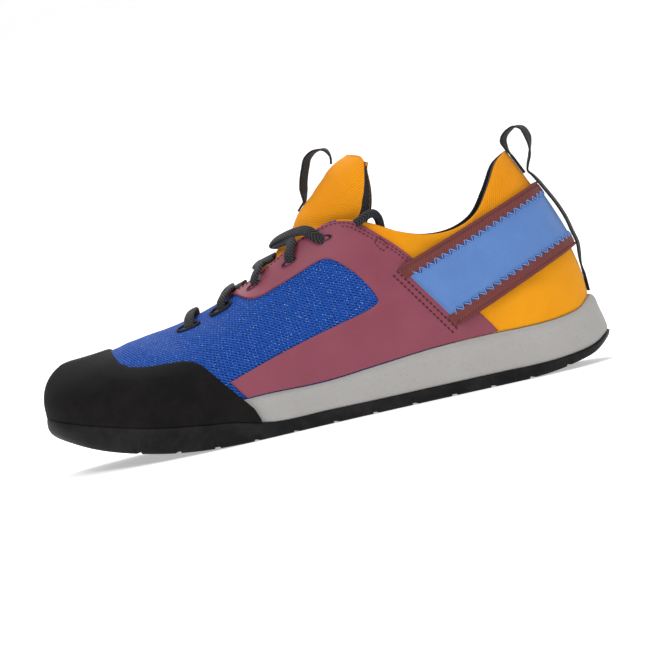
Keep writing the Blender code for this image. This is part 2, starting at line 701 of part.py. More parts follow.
def make_cap(finish):
    """Toe cap: a shell over the upper in front of its edge line, its foot on the outsole's rim."""
    shown = np.concatenate([[0.585, 0.596], STATIONS[STATIONS > 0.60], [0.625, 0.875]])
    shown = np.sort(shown)
    around = np.concatenate([-shown, shown[-2::-1]])
    station = np.abs(around)
    along = along_of(station)
    foot, sole = seat(along) + GAP, border(along) + GAP
    edge = cap_edge(outline(around, foot_inset(station))[0][:, 0])
    wall = np.clip((edge - sole) / (foot - sole), 0.05, 1.0)
    top = np.where(wall < 1.0, 0.0, rib_height_at(around, cap_edge))
    heights = np.minimum(RUNGS[None, :], top[:, None])
    fade = np.clip((1 - heights / np.maximum(top[:, None], 1e-6)) / 0.28, 0, 1)
    thick = CAP_EDGE + (CAP - CAP_EDGE) * fade
    clear = GAP * 2 + np.interp(station, (0.585, 0.607, 0.680), (0.0012, 0.0006, 0.0))[:, None]
    low = last(around[:, None], heights, clear)
    high = last(around[:, None], heights, clear + thick)
    count = len(around)
    for i in range(count // 2):
        if top[i] == 1.0 and top[count - 1 - i] == 1.0:
            for layer in (low, high):
                middle = (layer[i, -1] + layer[count - 1 - i, -1]) / 2
                layer[i, -1], layer[count - 1 - i, -1] = middle, middle
    short = wall < 1.0
    high[short] = high[short][:, :1]
    for layer in (low, high):
        layer[short, :, 2] = (sole + wall * (foot - sole))[short, None]
    foot_low = low[:, :1].copy()
    foot_low[:, 0, 2] = sole
    rim = outline(around, np.full(station.shape, 0.0005))[0]
    foot_high = np.concatenate([rim, sole[:, None]], axis=-1)[:, None]
    low = np.concatenate([foot_low, low], axis=1)
    high = np.concatenate([foot_high, high], axis=1)
    rows = low.shape[1]
    size = count * rows
    closed = top == 1.0
    faces = grid_faces(count, rows) + grid_faces(count, rows, size)
    for i in range(count - 1):
        a, b = i * rows, (i + 1) * rows
        faces.append((a, b, b + size, a + size))
        if not (closed[i] and closed[i + 1]):
            a, b = a + rows - 1, b + rows - 1
            faces.append((a, b, b + size, a + size))
    for i in (0, count - 1):
        for j in range(rows - 1):
            a = i * rows + j
            faces.append((a, a + 1, a + 1 + size, a + size))
    return piece("toe_cap", np.concatenate([low.reshape(-1, 3), high.reshape(-1, 3)]), faces, finish)


def overlay_grid(side):
    """Stations and heights of the overlay: rungs from its inner to its outer edge, each edge
    smooth but for the corner at the foot of its rear edge."""
    table = np.array(OVERLAY_LINES, float)
    spans = ((0, OVERLAY_CORNER), (OVERLAY_CORNER, len(table) - 1))
    edges = []
    for start, end in spans:
        knots = np.arange(start, end + 1)
        reads = np.linspace(start, end, int((end - start) * 1.25) + 1)
        edges.append(smooth(reads, knots, table[start:end + 1], False)[0 if start == 0 else 1:])
    edges = np.concatenate(edges)
    outer = on_skin(edges[:, 0], edges[:, 1], side)
    inner = on_skin(edges[:, 2], edges[:, 3], side)
    share = np.linspace(0.0, 1.0, 6)
    station = inner[0][:, None] + (outer[0] - inner[0])[:, None] * share
    height = np.clip(inner[1][:, None] + (outer[1] - inner[1])[:, None] * share, 0.006, 0.985)
    return station, height


def make_overlay(side, name, finish):
    """Smooth overlay on one side, over the upper, with its lace slots and the band's slit."""
    station, height = overlay_grid(side)
    low = last(side * station, height, 1.5 * GAP)
    high = last(side * station, height, 1.5 * GAP + OVERLAY)
    made = slab(name, low, high, finish)
    foot = side_frame(*BAND[0][:2], side)
    top = side_frame(*BAND[1][:2], side)
    run = (top[0] - foot[0]) / 2
    normal = unit(foot[1] + top[1])
    behind = unit(np.cross(run, normal))
    behind = behind * np.sign(behind[0])
    centre = (foot[0] + top[0]) / 2 + behind * SLIT_WIDTH / 2
    cut = block("slit", centre, run * 1.09, behind * SLIT_WIDTH / 2, normal * 0.006, finish)
    combine(made, cut, "DIFFERENCE")
    return made


def cut_slots(target, side, ringed, finish):
    """Cut the lace slots, or the ringed holes, through a piece."""
    for along, up, has_ring in EYELETS:
        if has_ring == ringed:
            centre, normal, ahead = side_frame(along, up, side)
            across_slot = np.cross(normal, ahead)
            length = SLOT_LENGTH * (0.7 if ringed else 1.0)
            cut = block("slot", centre, ahead * length / 2, across_slot * SLOT_WIDTH / 2,
                        normal * 0.006, finish)
            combine(target, cut, "DIFFERENCE")


def make_ring(side, number, finish):
    """Oval bead round a ringed hole, lying on the mesh."""
    along, up, _ = EYELETS[number]
    centre, normal, ahead = side_frame(along, up, side)
    across_ring = np.cross(normal, ahead)
    steps, sides = 14, 4
    turns = np.linspace(0, 2 * np.pi, steps, endpoint=False)
    path = (centre + ahead * (np.cos(turns) * (RING_LENGTH - RING_BEAD) / 2)[:, None]
            + across_ring * (np.sin(turns) * (RING_WIDTH - RING_BEAD) / 2)[:, None])
    outward = unit(path - centre)
    apart = on_skin(0.5 - path[:, 0] / LENGTH, path[:, 2] / INSTEP_HEIGHT, side)
    path = last(side * apart[0], apart[1], GAP + RING_BEAD * 0.55)
    turn = np.linspace(0, 2 * np.pi, sides, endpoint=False)
    bead = (path[:, None] + outward[:, None] * (np.cos(turn) * RING_BEAD / 2)[None, :, None]
            + normal * (np.sin(turn) * RING_BEAD * 0.45)[None, :, None])
    faces = []
    for i in range(steps):
        for j in range(sides):
            k, n = (j + 1) % sides, (i + 1) % steps
            faces.append((i * sides + j, n * sides + j, n * sides + k, i * sides + k))
    name = "eyelet_ring_" + ("outer" if side < 0 else "inner") + f"_{number + 1}"
    return piece(name, bead.reshape(-1, 3), faces, finish)


def band_edges(share):
    """Side view line of the heel band at a share of its width: its end at the slit and at heel."""
    low, high = np.array(BAND[0]), np.array(BAND[1])
    row = low + (high - low) * share
    return row[:2], row[2:]


def band_grid(shares, thick):
    """Grids of the heel band or a binding: lines from one slit round the heel to the other. The
    band comes up through the slit, passes over the overlay's rear strip and then nears the knit."""
    per_station = LENGTH * math.pi / 2 * math.sin(math.pi * 0.3)
    low_rows, high_rows = [], []
    for share in shares:
        slit, heel = band_edges(share)

        def line(x):
            slope = (heel[1] - slit[1]) * INSTEP_HEIGHT / (x_of(heel[0]) - x_of(slit[0]))
            return INSTEP_HEIGHT * slit[1] + slope * (x - x_of(slit[0]))

        ends = [on_skin([slit[0]], [slit[1]], side)[0][0] for side in (-1, 1)]
        starts = np.array([0.12, 0.45, 0.80, 1.15]) * SLIT_WIDTH / per_station
        halves = [np.concatenate([end - starts, np.linspace(end - 0.03, 0.0, 8)]) for end in ends]
        around = np.concatenate([-halves[0][:-1], halves[1][::-1]])
        height = rib_height_at(around, line)
        apart = np.minimum(ends[0] + around, ends[1] - around) * per_station
        rise = np.clip(apart / (SLIT_WIDTH * 0.80), 0, 1)
        fall = np.clip((apart - 0.020) / 0.030, 0, 1)
        stand = GAP * 1.4 + (OVERLAY + GAP * 1.8) * rise - OVERLAY * fall * fall * (3 - 2 * fall)
        low_rows.append(last(around, height, stand))
        high_rows.append(last(around, height, stand + thick))
    return np.stack(low_rows), np.stack(high_rows)


def make_band(finish, binding):
    """Elastic band round the heel and the folded binding along its upper and lower edge."""
    edge, joint = BINDING_SHARE, 0.010
    slab("heel_strap", *band_grid(np.linspace(edge + joint, 1 - edge - joint, 4), STRAP), finish)
    slab("strap_binding_lower", *band_grid(np.linspace(0.0, edge, 3), BINDING), binding)
    slab("strap_binding_upper", *band_grid(np.linspace(1 - edge, 1.0, 3), BINDING), binding)


def ribbon(name, path, finish, width=WEBBING_WIDTH):
    """Webbing along a path in the shoe's middle plane."""
    ahead = unit(np.gradient(path, axis=0))
    flat = np.array([0.0, 1.0, 0.0])
    out = np.cross(ahead, flat)
    low, high = path - out * WEBBING / 2, path + out * WEBBING / 2
    side = flat * width / 2
    return slab(name, np.stack([low - side, low + side], axis=1),
                np.stack([high - side, high + side], axis=1), finish)


def make_heel_tape(finish):
    """Tape up the heel's tab, round the pull loop and down over the band to the midsole."""
    half = WEBBING / 2 + GAP
    climb = last(0.0, np.array([0.80, 0.88, 0.95, 1.0]), half)
    top = climb[-1]
    loop = [top + np.array([row[0], 0.0, row[1]]) * TAPE_LOOP for row in TAPE_LOOP_LINE]
    down = last(0.0, column(TAPE_BACK, TAPE_BACK_COLUMNS, "height"),
                column(TAPE_BACK, TAPE_BACK_COLUMNS, "stand_off") * 1e-3)
    points = np.concatenate([climb, loop, down])
    points[:, 1] = 0.0
    return ribbon("heel_tape", through(points, 36), finish)


def tongue_rows():
    """Key points of the tongue's outer face: side edge, shoulder and middle of each cross row.
    Below the collar the edges follow the inside of the upper, above it they are free."""
    rows = []
    for station, along, up, edge_along, edge_up, edge_out in TONGUE:
        mid = HALF * float(smooth(station if station else 0.45,
                                  column(CREST, CREST_COLUMNS, "station"),
                                  column(CREST, CREST_COLUMNS, "mid")))
        centre = np.array([x_of(along), mid, INSTEP_HEIGHT * up])
        row = {0: centre}
        for side in (-1, 1):
            if station:
                deep = 0.0 if station < 0.75 else 0.0004
                edge = last(side * station, 0.80, -WALL - 0.0018)
                shoulder = last(side * station, 0.955, -WALL - 0.0011 - deep)
            else:
                edge = np.array([x_of(edge_along), mid + side * HALF * edge_out,
                                 INSTEP_HEIGHT * edge_up])
                low, high = 1 - math.cos(SHOULDER_TURN), math.sin(SHOULDER_TURN)
                ahead = high if len(rows) == len(TONGUE) - 1 else low
                shoulder = centre + (edge - centre) * np.array([ahead, high, low])
            row[side], row[2 * side] = shoulder, edge
        rows.append([row[-2], row[-1], row[0], row[1], row[2]])
    return np.array(rows)


def tongue_face(rows_count, columns_count):
    """The tongue's outer face as a smooth grid through its key points."""
    keys = tongue_rows()
    tracks = np.stack([through(keys[:, i], rows_count) for i in range(5)], axis=1)
    knots = np.array([-1.0, -0.55, 0.0, 0.55, 1.0])
    reads = np.linspace(-1, 1, columns_count)
    return np.stack([smooth(reads, knots, row, False) for row in tracks])


def make_tongue(finish):
    """Padded tongue: its face, and the same face moved in by the padding, thin at the edges."""
    face = tongue_face(15, 9)
    ahead, side = np.gradient(face, axis=0), np.gradient(face, axis=1)
    inward = unit(np.cross(ahead, side))
    rise = np.linspace(0, 1, face.shape[0])[:, None]
    width = np.abs(np.linspace(-1, 1, face.shape[1]))[None, :]
    full = np.clip((1 - width) / 0.35, 0, 1) * np.clip((1 - rise) / 0.10, 0, 1)
    full = full * np.clip(rise / 0.45, 0.0, 1)
    thick = TONGUE_EDGE + (TONGUE_PAD - TONGUE_EDGE) * np.sqrt(full)
    centre = face[:, face.shape[1] // 2]
    if np.mean(inward[:, face.shape[1] // 2, 2]) > 0:
        inward = -inward
    back = face + inward * thick[..., None]
    slab("tongue", face, back, finish)
    return centre


def make_tongue_loop(centre, finish):
    """Webbing sewn up the tongue's front, round its pull loop and back onto the tongue."""
    reach = np.concatenate([[0.0], np.cumsum(np.linalg.norm(np.diff(centre, axis=0), axis=1))])
    lift = GAP + WEBBING / 2
    top = reach[-1] - 0.008
    foot = top - TONGUE_LOOP
    sewn = smooth(np.array([foot - 0.006, foot - 0.003, foot]), reach, centre, False)
    start, end = smooth(np.array([foot, top]), reach, centre, False)
    ahead = unit(end - start)
    out = unit(np.cross(np.array([0.0, 1.0, 0.0]), ahead))
    if out[2] < 0:
        out = -out
    loop = [start + TONGUE_LOOP * (ahead * a + out * b) + out * lift for a, b in TONGUE_LOOP_LINE]
    points = np.concatenate([sewn + out * lift, loop])
    points[:, 1] = centre[0, 1]
    return ribbon("tongue_loop", through(points, 28), finish)


def bridge(station, share, lift):
    """Point of the arch that the laces lie on: share -1 is over the outer eyelets, 0 over the
    tongue's middle and 1 over the inner eyelets. Lift raises it off what it lies on."""
    holes = EYELETS[::-1]
    along, up = [row[0] for row in holes], [row[1] for row in holes]
    rest = LACE_THICK / 2 + 2 * GAP + lift
    rows = TONGUE[7::-1]
    knots = [row[0] if row[0] else 0.44 for row in rows]
    centre = np.array([(x_of(row[1]), 0.0, INSTEP_HEIGHT * row[2]) for row in rows])
    middle = smooth(station, knots, centre, False)
    ahead = smooth(station + 0.01, knots, centre, False) - smooth(station - 0.01, knots, centre, False)
    upward = unit(np.cross(ahead, np.array([0.0, 1.0, 0.0])))
    points = {0: middle + upward * (rest + GAP) * np.sign(upward[2])}
    for side in (-1, 1):
        stations, heights = on_skin(along, up, side)
        height = np.interp(station, stations, heights)
        points[2 * side] = last(side * station, height, rest + RING_BEAD)
        points[side] = last(side * station, 0.985, rest + OVERLAY)
    points[0][1] = (points[1][1] + points[-1][1]) / 2
    return smooth(share, [-1.0, -THROAT_EDGE, 0.0, THROAT_EDGE, 1.0],
                  np.array([points[key] for key in (-2, -1, 0, 1, 2)]), False)


def make_strand(name, side, first, final, reach, lead, bow, finish):
    """One strand: out of an eyelet, over the tongue, to the other side's eyelet or its edge."""
    start, end = (on_skin([EYELETS[number][0]], [EYELETS[number][1]], side * way)[0][0]
                  for number, way in ((first, 1), (final, -1)))
    path, raised = [], []
    for share in np.linspace(0.0, 1.0, 9):
        over = share * (1 + reach) - 1
        station = start + (end - start) * ((over + 1) / 2) ** lead
        sink = 0.0 if reach == 1.0 else 0.0014 * max(0.0, share - 0.75) / 0.25
        lift = bow * 1e-3 * math.sin(math.pi * share) - sink
        path.append(bridge(station, -side * over, lift))
        raised.append(bridge(station, -side * over, lift + 0.001))
    path, raised = np.array(path), np.array(raised)
    return strand(name, path, unit(raised - path), finish)


def make_laces(finish):
    """A bar over the front eyelets and three crossings, each of two strands in one solid."""
    made = {}
    for name, *row in LACES:
        laid = make_strand(name if name not in made else "strand", *row, finish)
        if name in made:
            combine(made[name], laid, "UNION")
        else:
            made[name] = laid


def make_lace_end(finish):
    """Free end of the lace: over the collar beside the tongue and down inside."""
    table = np.array(LACE_END, float)
    points = np.stack([x_of(table[:, 0]), HALF * table[:, 2], INSTEP_HEIGHT * table[:, 1]], axis=1)
    path = bpy.data.curves.new("lace_end", "CURVE")
    path.dimensions = "3D"
    line = path.splines.new("POLY")
    smooth_points = through(points, 14)
    line.points.add(len(smooth_points) - 1)
    for point, place in zip(line.points, smooth_points):
        point.co = (*place, 1.0)
    path.bevel_depth = LACE_WIDTH / 2 * 0.72
    path.bevel_resolution = 1
    path.use_fill_caps = True
    path.materials.append(finish)
    made = bpy.data.objects.new("lace_end", path)
    bpy.context.scene.collection.objects.link(made)


def build():
    """Make every piece."""
    for old in list(bpy.data.objects):
        bpy.data.objects.remove(old)
    rubber = material("black_rubber", (0.020, 0.019, 0.019), 0.62)
    cap_rubber = material("cap_rubber", (0.030, 0.027, 0.026), 0.70)
    foam = material("grey_foam", (0.46, 0.45, 0.44), 0.80)
    board = material("insole_cloth", (0.03, 0.03, 0.035), 0.90)
    knit = material("yellow_knit", (0.85, 0.36, 0.02), 0.85)
    film = material("burgundy_film", (0.28, 0.07, 0.10), 0.55)
    elastic = material("blue_elastic", (0.12, 0.26, 0.60), 0.60)
    binding = material("maroon_binding", (0.16, 0.045, 0.045), 0.80)
    webbing = material("black_webbing", (0.015, 0.015, 0.016), 0.80)
    lace = material("lace_braid", (0.03, 0.03, 0.035), 0.75)

    make_outsole(rubber)
    make_midsole(foam)
    make_insole(board)
    upper = make_upper(knit)
    make_cap(cap_rubber)
    for side, name in ((-1, "overlay_outer"), (1, "overlay_inner")):
        overlay = make_overlay(side, name, film)
        cut_slots(overlay, side, False, film)
        cut_slots(upper, side, False, knit)
        cut_slots(upper, side, True, knit)
        for number in (0, 1):
            make_ring(side, number, webbing)
    make_band(elastic, binding)
    make_heel_tape(webbing)
    centre = make_tongue(knit)
    make_tongue_loop(centre, webbing)
    make_laces(lace)
    make_lace_end(lace)


build()
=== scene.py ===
"""Looks of the left approach shoe: every soft and rubber piece remade in fine detail in the place
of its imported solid, its cloth, film, rubber and thread finishes, and the photograph's view."""
import functools
import math

import bpy
import numpy as np
from mathutils import Matrix


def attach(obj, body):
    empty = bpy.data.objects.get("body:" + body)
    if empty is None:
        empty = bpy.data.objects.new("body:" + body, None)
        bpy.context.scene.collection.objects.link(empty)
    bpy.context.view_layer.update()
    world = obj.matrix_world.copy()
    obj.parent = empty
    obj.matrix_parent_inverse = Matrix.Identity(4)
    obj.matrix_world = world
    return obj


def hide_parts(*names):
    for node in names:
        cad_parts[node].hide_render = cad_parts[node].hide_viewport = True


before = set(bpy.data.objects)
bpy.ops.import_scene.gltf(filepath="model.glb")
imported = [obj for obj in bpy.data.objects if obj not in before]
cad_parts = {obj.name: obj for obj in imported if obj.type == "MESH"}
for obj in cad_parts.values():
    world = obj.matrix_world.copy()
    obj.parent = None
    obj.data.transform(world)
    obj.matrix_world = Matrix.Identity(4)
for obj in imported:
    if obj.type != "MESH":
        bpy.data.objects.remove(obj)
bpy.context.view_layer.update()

# Driving dimensions
LENGTH = 0.290            # sole, heel to toe
BALL_WIDTH = 0.105        # sole across the ball of the foot
INSTEP_HEIGHT = 0.100     # ground to the top of the eyestay
TAB_RISE = 0.033          # heel tab above the lowest point of the collar
TOE_SPRING = 0.0215       # toe of the outsole above the ground
HEEL_BEVEL = 0.0105       # back of the outsole above the ground
TREAD = 0.0066            # outsole under the waist
FOAM = 0.0190             # midsole under the heel
WALL = 0.0022             # upper
OVERLAY = 0.0009          # smooth side overlays
CAP = 0.0022              # toe cap
CAP_EDGE = 0.0009         # toe cap where it thins out
GAP = 0.0003              # between pieces that touch
STRAP = 0.0014            # elastic band round the heel
BINDING = 0.0021          # folded binding along the band's edges
WEBBING = 0.0011
WEBBING_WIDTH = 0.0090
TAPE_LOOP = 0.0240        # heel pull loop above the tab, measured along the shoe's height
TONGUE_LOOP = 0.0240      # foot to foot of the tongue's pull loop
TONGUE_PAD = 0.0050
TONGUE_EDGE = 0.0022
LACE_WIDTH = 0.0056
LACE_THICK = 0.0028
SLOT_LENGTH = 0.0076
SLOT_WIDTH = 0.0022
SLIT_WIDTH = 0.0036       # where the heel band goes in behind the overlay
RING_LENGTH = 0.0136
RING_WIDTH = 0.0082
RING_BEAD = 0.0014
RIM = 0.0045              # raised front rim of the outsole
GROOVE_WIDTH = 0.0028
GROOVE_DEPTH = 0.0026
GROOVE_PITCH = 0.0200

HALF = BALL_WIDTH / 2

# Sole seen from above: stations from heel to toe, half widths as shares of half the ball width
PLAN_COLUMNS = ("station", "outer", "inner")
PLAN = (
    (0.0, 0.000, 0.000),
    (0.1, 0.370, 0.350),
    (0.2, 0.605, 0.585),
    (0.3, 0.685, 0.645),
    (0.4, 0.715, 0.600),
    (0.5, 0.810, 0.625),
    (0.6, 0.985, 0.850),
    (0.7, 1.000, 1.000),
    (0.8, 0.730, 0.830),
    (0.9, 0.330, 0.510),
    (1.0, -0.110, 0.110),
)

# Sole seen from the side: how far along, lift of toe and heel, thickness of outsole and midsole
SOLE_COLUMNS = ("along", "spring", "bevel", "tread", "foam")
SOLE = (
    (0.000, 0.000, 1.00, 0.62, 1.01),
    (0.030, 0.000, 0.55, 0.66, 1.00),
    (0.070, 0.000, 0.28, 0.73, 1.00),
    (0.110, 0.000, 0.11, 0.85, 1.00),
    (0.165, 0.000, 0.00, 0.97, 1.01),
    (0.300, 0.000, 0.00, 1.00, 0.99),
    (0.400, 0.000, 0.00, 1.00, 0.87),
    (0.500, 0.000, 0.00, 1.05, 0.73),
    (0.620, 0.000, 0.00, 1.22, 0.70),
    (0.670, 0.005, 0.00, 1.72, 0.50),
    (0.720, 0.037, 0.00, 1.92, 0.36),
    (0.810, 0.190, 0.00, 2.02, 0.26),
    (0.920, 0.553, 0.00, 1.92, 0.21),
    (1.000, 1.000, 0.00, 1.41, 0.17),
)

# Upper edge of the skin, from the heel tab round the collar and down the throat to the toe.
# up is a share of the instep height, tab of the tab rise, mid and gap of half the ball width.
CREST_COLUMNS = ("station", "along", "up", "tab", "mid", "gap")
CREST = (
    (0.00, 0.112, 0.810, 1.000, 0.000, 0.000),
    (0.05, 0.121, 0.810, 0.960, 0.000, 0.150),
    (0.10, 0.139, 0.810, 0.830, 0.000, 0.290),
    (0.15, 0.162, 0.810, 0.500, 0.000, 0.405),
    (0.20, 0.191, 0.810, 0.170, 0.000, 0.490),
    (0.25, 0.231, 0.810, 0.010, 0.000, 0.540),
    (0.30, 0.278, 0.812, 0.000, 0.000, 0.557),
    (0.35, 0.326, 0.856, 0.000, 0.000, 0.548),
    (0.40, 0.376, 0.934, 0.000, 0.004, 0.505),
    (0.45, 0.428, 0.980, 0.000, 0.014, 0.440),
    (0.50, 0.479, 0.944, 0.000, 0.024, 0.372),
    (0.60, 0.590, 0.776, 0.000, 0.043, 0.250),
    (0.70, 0.698, 0.662, 0.000, 0.054, 0.125),
    (0.75, 0.748, 0.630, 0.000, 0.060, 0.000),
    (0.80, 0.793, 0.614, 0.000, 0.076, 0.000),
    (0.90, 0.866, 0.574, 0.000, 0.105, 0.000),
    (1.00, 0.910, 0.562, 0.000, 0.114, 0.000),
)

# Shape of the rib that climbs from the sole to the crest at each station: how far its foot stands
# in from the sole's edge and how far it swells (millimetres), then how high its belly and how wide
# its shoulder reach, and how the shoulder hangs below the crest (shares of the rib's own spans)
RIB_COLUMNS = ("station", "inset", "swell", "belly", "shoulder", "hang", "rake")
RIB = (
    (0.00, 7.4, 1.2, 0.33, 0.36, 0.25, 1.0),
    (0.10, 6.6, 2.2, 0.34, 0.34, 0.27, 1.0),
    (0.20, 5.2, 3.0, 0.36, 0.30, 0.30, 1.0),
    (0.30, 4.6, 2.6, 0.38, 0.32, 0.34, 1.0),
    (0.40, 4.4, 1.6, 0.42, 0.42, 0.34, 1.0),
    (0.50, 4.2, 0.8, 0.46, 0.50, 0.24, 0.8),
    (0.60, 3.6, 0.6, 0.50, 0.48, 0.18, 0.5),
    (0.70, 3.3, 0.8, 0.54, 0.46, 0.12, 0.1),
    (0.76, 3.2, 0.8, 0.56, 0.50, 0.02, 0.0),
    (0.85, 3.0, 1.0, 0.58, 0.60, 0.00, 0.0),
    (0.93, 2.9, 1.0, 0.62, 0.62, 0.00, 0.5),
    (1.00, 2.8, 0.6, 0.62, 0.62, 0.00, 1.0),
)

# Top edge of the toe cap seen from the side, down to its rear tip by the outsole
CAP_LINE_COLUMNS = ("along", "up")
CAP_LINE = (
    (0.8640, 0.640),
    (0.8630, 0.584),
    (0.8545, 0.547),
    (0.8455, 0.511),
    (0.8295, 0.485),
    (0.8010, 0.469),
    (0.7360, 0.461),
    (0.7190, 0.448),
    (0.7060, 0.424),
    (0.6920, 0.374),
    (0.6710, 0.296),
    (0.6455, 0.202),
    (0.6340, 0.157),
    (0.6260, 0.090),
)

# Side overlay seen from the side: along and up of its outer edge and then of its inner edge, from
# the tip of the eyestay round the back of the mesh window to the front of the lower arm
OVERLAY_LINES = (
    (0.643, 0.738, 0.638, 0.727),
    (0.614, 0.762, 0.624, 0.716),
    (0.590, 0.790, 0.606, 0.689),
    (0.562, 0.836, 0.586, 0.687),
    (0.528, 0.892, 0.552, 0.718),
    (0.486, 0.950, 0.510, 0.761),
    (0.450, 0.996, 0.476, 0.796),
    (0.424, 1.000, 0.460, 0.801),
    (0.399, 0.958, 0.446, 0.784),
    (0.361, 0.861, 0.429, 0.740),
    (0.329, 0.767, 0.413, 0.688),
    (0.290, 0.625, 0.397, 0.617),
    (0.252, 0.485, 0.388, 0.558),
    (0.222, 0.377, 0.389, 0.536),
    (0.197, 0.270, 0.396, 0.522),
    (0.272, 0.240, 0.418, 0.500),
    (0.362, 0.228, 0.459, 0.473),
    (0.459, 0.205, 0.514, 0.436),
    (0.548, 0.195, 0.569, 0.395),
    (0.610, 0.200, 0.624, 0.347),
    (0.641, 0.198, 0.664, 0.311),
)
OVERLAY_CORNER = 14

# Heel band seen from the side, its lower and then its upper edge: along and up at the slit in the
# overlay, along and up at the heel
BAND = (
    (0.260, 0.339, 0.0335, 0.594),
    (0.340, 0.682, 0.0797, 0.945),
)
BINDING_SHARE = 0.175

# Lace places seen from the side: along, up and whether ringed. Two ringed holes in the mesh, then
# three slots in the eyestay
EYELETS = (
    (0.717, 0.611, True),
    (0.656, 0.665, True),
    (0.590, 0.740, False),
    (0.522, 0.817, False),
    (0.455, 0.899, False),
)

# Laces: piece, side each strand starts on, its first and last eyelet, how far across it goes (1 is over
# the other eyelet), how it leads towards it along the shoe, and how high it bows (millimetres)
LACES = (
    ("lace_bar", -1, 0, 0, 1.00, 1.0, 0.4),
    ("lace_crossing_1", -1, 1, 2, 0.36, 1.0, 0.4),
    ("lace_crossing_1", 1, 1, 2, 0.36, 1.0, 1.6),
    ("lace_crossing_2", 1, 2, 3, 0.36, 1.0, 0.4),
    ("lace_crossing_2", -1, 2, 3, 0.36, 1.0, 1.6),
    ("lace_crossing_3", -1, 3, 4, 0.36, 1.4, 0.4),
    ("lace_crossing_3", -1, 4, 3, 0.40, 0.6, 2.2),
)
THROAT_EDGE = 0.55        # of the way from the tongue's middle to the eyelets

# Free end of the lace on the outer side: along, up and outward (shares of the named sizes), from
# the rear edge of the overlay over the collar and down inside it
LACE_END = (
    (0.398, 0.940, -0.560),
    (0.386, 0.957, -0.555),
    (0.374, 0.972, -0.530),
    (0.363, 0.972, -0.480),
    (0.357, 0.945, -0.430),
    (0.356, 0.890, -0.420),
    (0.358, 0.820, -0.430),
    (0.362, 0.740, -0.450),
    (0.367, 0.660, -0.470),
)

# Heel tape down the back of the shoe: height on the heel's rib, stand-off in millimetres
TAPE_BACK_COLUMNS = ("height", "stand_off")
TAPE_BACK = (
    (0.80, 2.9),
    (0.76, 3.5),
    (0.71, 4.1),
    (0.65, 4.5),
    (0.55, 5.2),
    (0.45, 5.2),
    (0.37, 4.5),
    (0.30, 4.1),
    (0.25, 2.7),
    (0.19, 1.3),
    (0.12, 1.0),
    (0.02, 1.0),
)

# Heel pull loop above the tab: backward and upward, as shares of the loop's height
TAPE_LOOP_LINE = (
    (-0.02, 0.08),
    (-0.04, 0.18),
    (0.02, 0.30),
    (0.12, 0.38),
    (0.26, 0.43),
    (0.40, 0.38),
    (0.48, 0.22),
    (0.49, 0.02),
    (0.44, -0.22),
    (0.36, -0.42),
)

# Tongue: station (0 above the collar), along and up of the middle of each cross row, then along,
# up and out of its side edge where it is above the collar
TONGUE = (
    (0.80, 0.776, 0.586, 0.0, 0.0, 0.0),
    (0.75, 0.741, 0.598, 0.0, 0.0, 0.0),
    (0.70, 0.697, 0.632, 0.0, 0.0, 0.0),
    (0.65, 0.652, 0.678, 0.0, 0.0, 0.0),
    (0.60, 0.607, 0.752, 0.0, 0.0, 0.0),
    (0.55, 0.562, 0.838, 0.0, 0.0, 0.0),
    (0.50, 0.526, 0.930, 0.0, 0.0, 0.0),
    (0.00, 0.478, 1.085, 0.415, 0.850, 0.330),
    (0.00, 0.438, 1.190, 0.370, 0.985, 0.385),
    (0.00, 0.408, 1.262, 0.359, 1.120, 0.385),
    (0.00, 0.385, 1.290, 0.358, 1.232, 0.300),
)

SHOULDER_TURN = math.radians(52)    # where the shoulder lies on the quarter turn to the edge

# Tongue's pull loop: along the tongue and out from it, as shares of the distance between its feet
TONGUE_LOOP_LINE = (
    (0.04, 0.03),
    (0.16, 0.14),
    (0.33, 0.27),
    (0.56, 0.40),
    (0.77, 0.49),
    (0.99, 0.45),
    (1.13, 0.30),
    (1.08, 0.12),
    (0.97, 0.02),
)


def column(table, columns, name):
    """One named column of a table as an array."""
    return np.array([row[columns.index(name)] for row in table], float)


def smooth(at, knots, values, level_ends=True):
    """Read a smooth curve through (knots, values): a cubic between each two rows, whose slope at a
    row is that of its neighbours. Level ends start and stop with no slope."""
    knots, values = np.asarray(knots, float), np.asarray(values, float)
    at = np.clip(np.asarray(at, float), knots[0], knots[-1])
    slopes = np.gradient(values, knots, axis=0)
    if level_ends:
        slopes[0] = slopes[-1] = 0.0
    cell = np.clip(np.searchsorted(knots, at, side="right") - 1, 0, len(knots) - 2)
    step = (knots[cell + 1] - knots[cell])
    t = (at - knots[cell]) / step
    if values.ndim > 1:
        step, t = step[..., None], t[..., None]
    rise = t * t * (3 - 2 * t)
    lead = t * (1 - t) ** 2 * step
    trail = -t * t * (1 - t) * step
    return (values[cell] * (1 - rise) + values[cell + 1] * rise
            + slopes[cell] * lead + slopes[cell + 1] * trail)


def read(table, columns, name, at, level_ends=True):
    """One column of a table, read smoothly over its first column."""
    return smooth(at, column(table, columns, columns[0]), column(table, columns, name), level_ends)


def reach_of(points):
    """Length walked along a path by each of its points."""
    return np.concatenate([[0.0], np.cumsum(np.linalg.norm(np.diff(points, axis=0), axis=1))])


def through(points, count):
    """A smooth curve through points, read at evenly spaced places of its own length."""
    points = np.asarray(points, float)
    reach = reach_of(points)
    return smooth(np.linspace(0.0, reach[-1], count), reach, points, level_ends=False)


def unit(vectors):
    """Vectors at length one."""
    return vectors / np.maximum(np.linalg.norm(vectors, axis=-1, keepdims=True), 1e-12)


def along_of(station):
    """Share of the length at a station: stations bunch up at heel and toe like a cosine."""
    return (1 - np.cos(np.pi * station)) / 2


def x_of(along):
    """Place along the shoe: the heel's back is at +half the length."""
    return LENGTH * (0.5 - along)


def sole_curve(name, along):
    """One column of the side table of the sole, read smoothly and kept from dipping below 0."""
    return np.maximum(read(SOLE, SOLE_COLUMNS, name, along, False), 0.0)


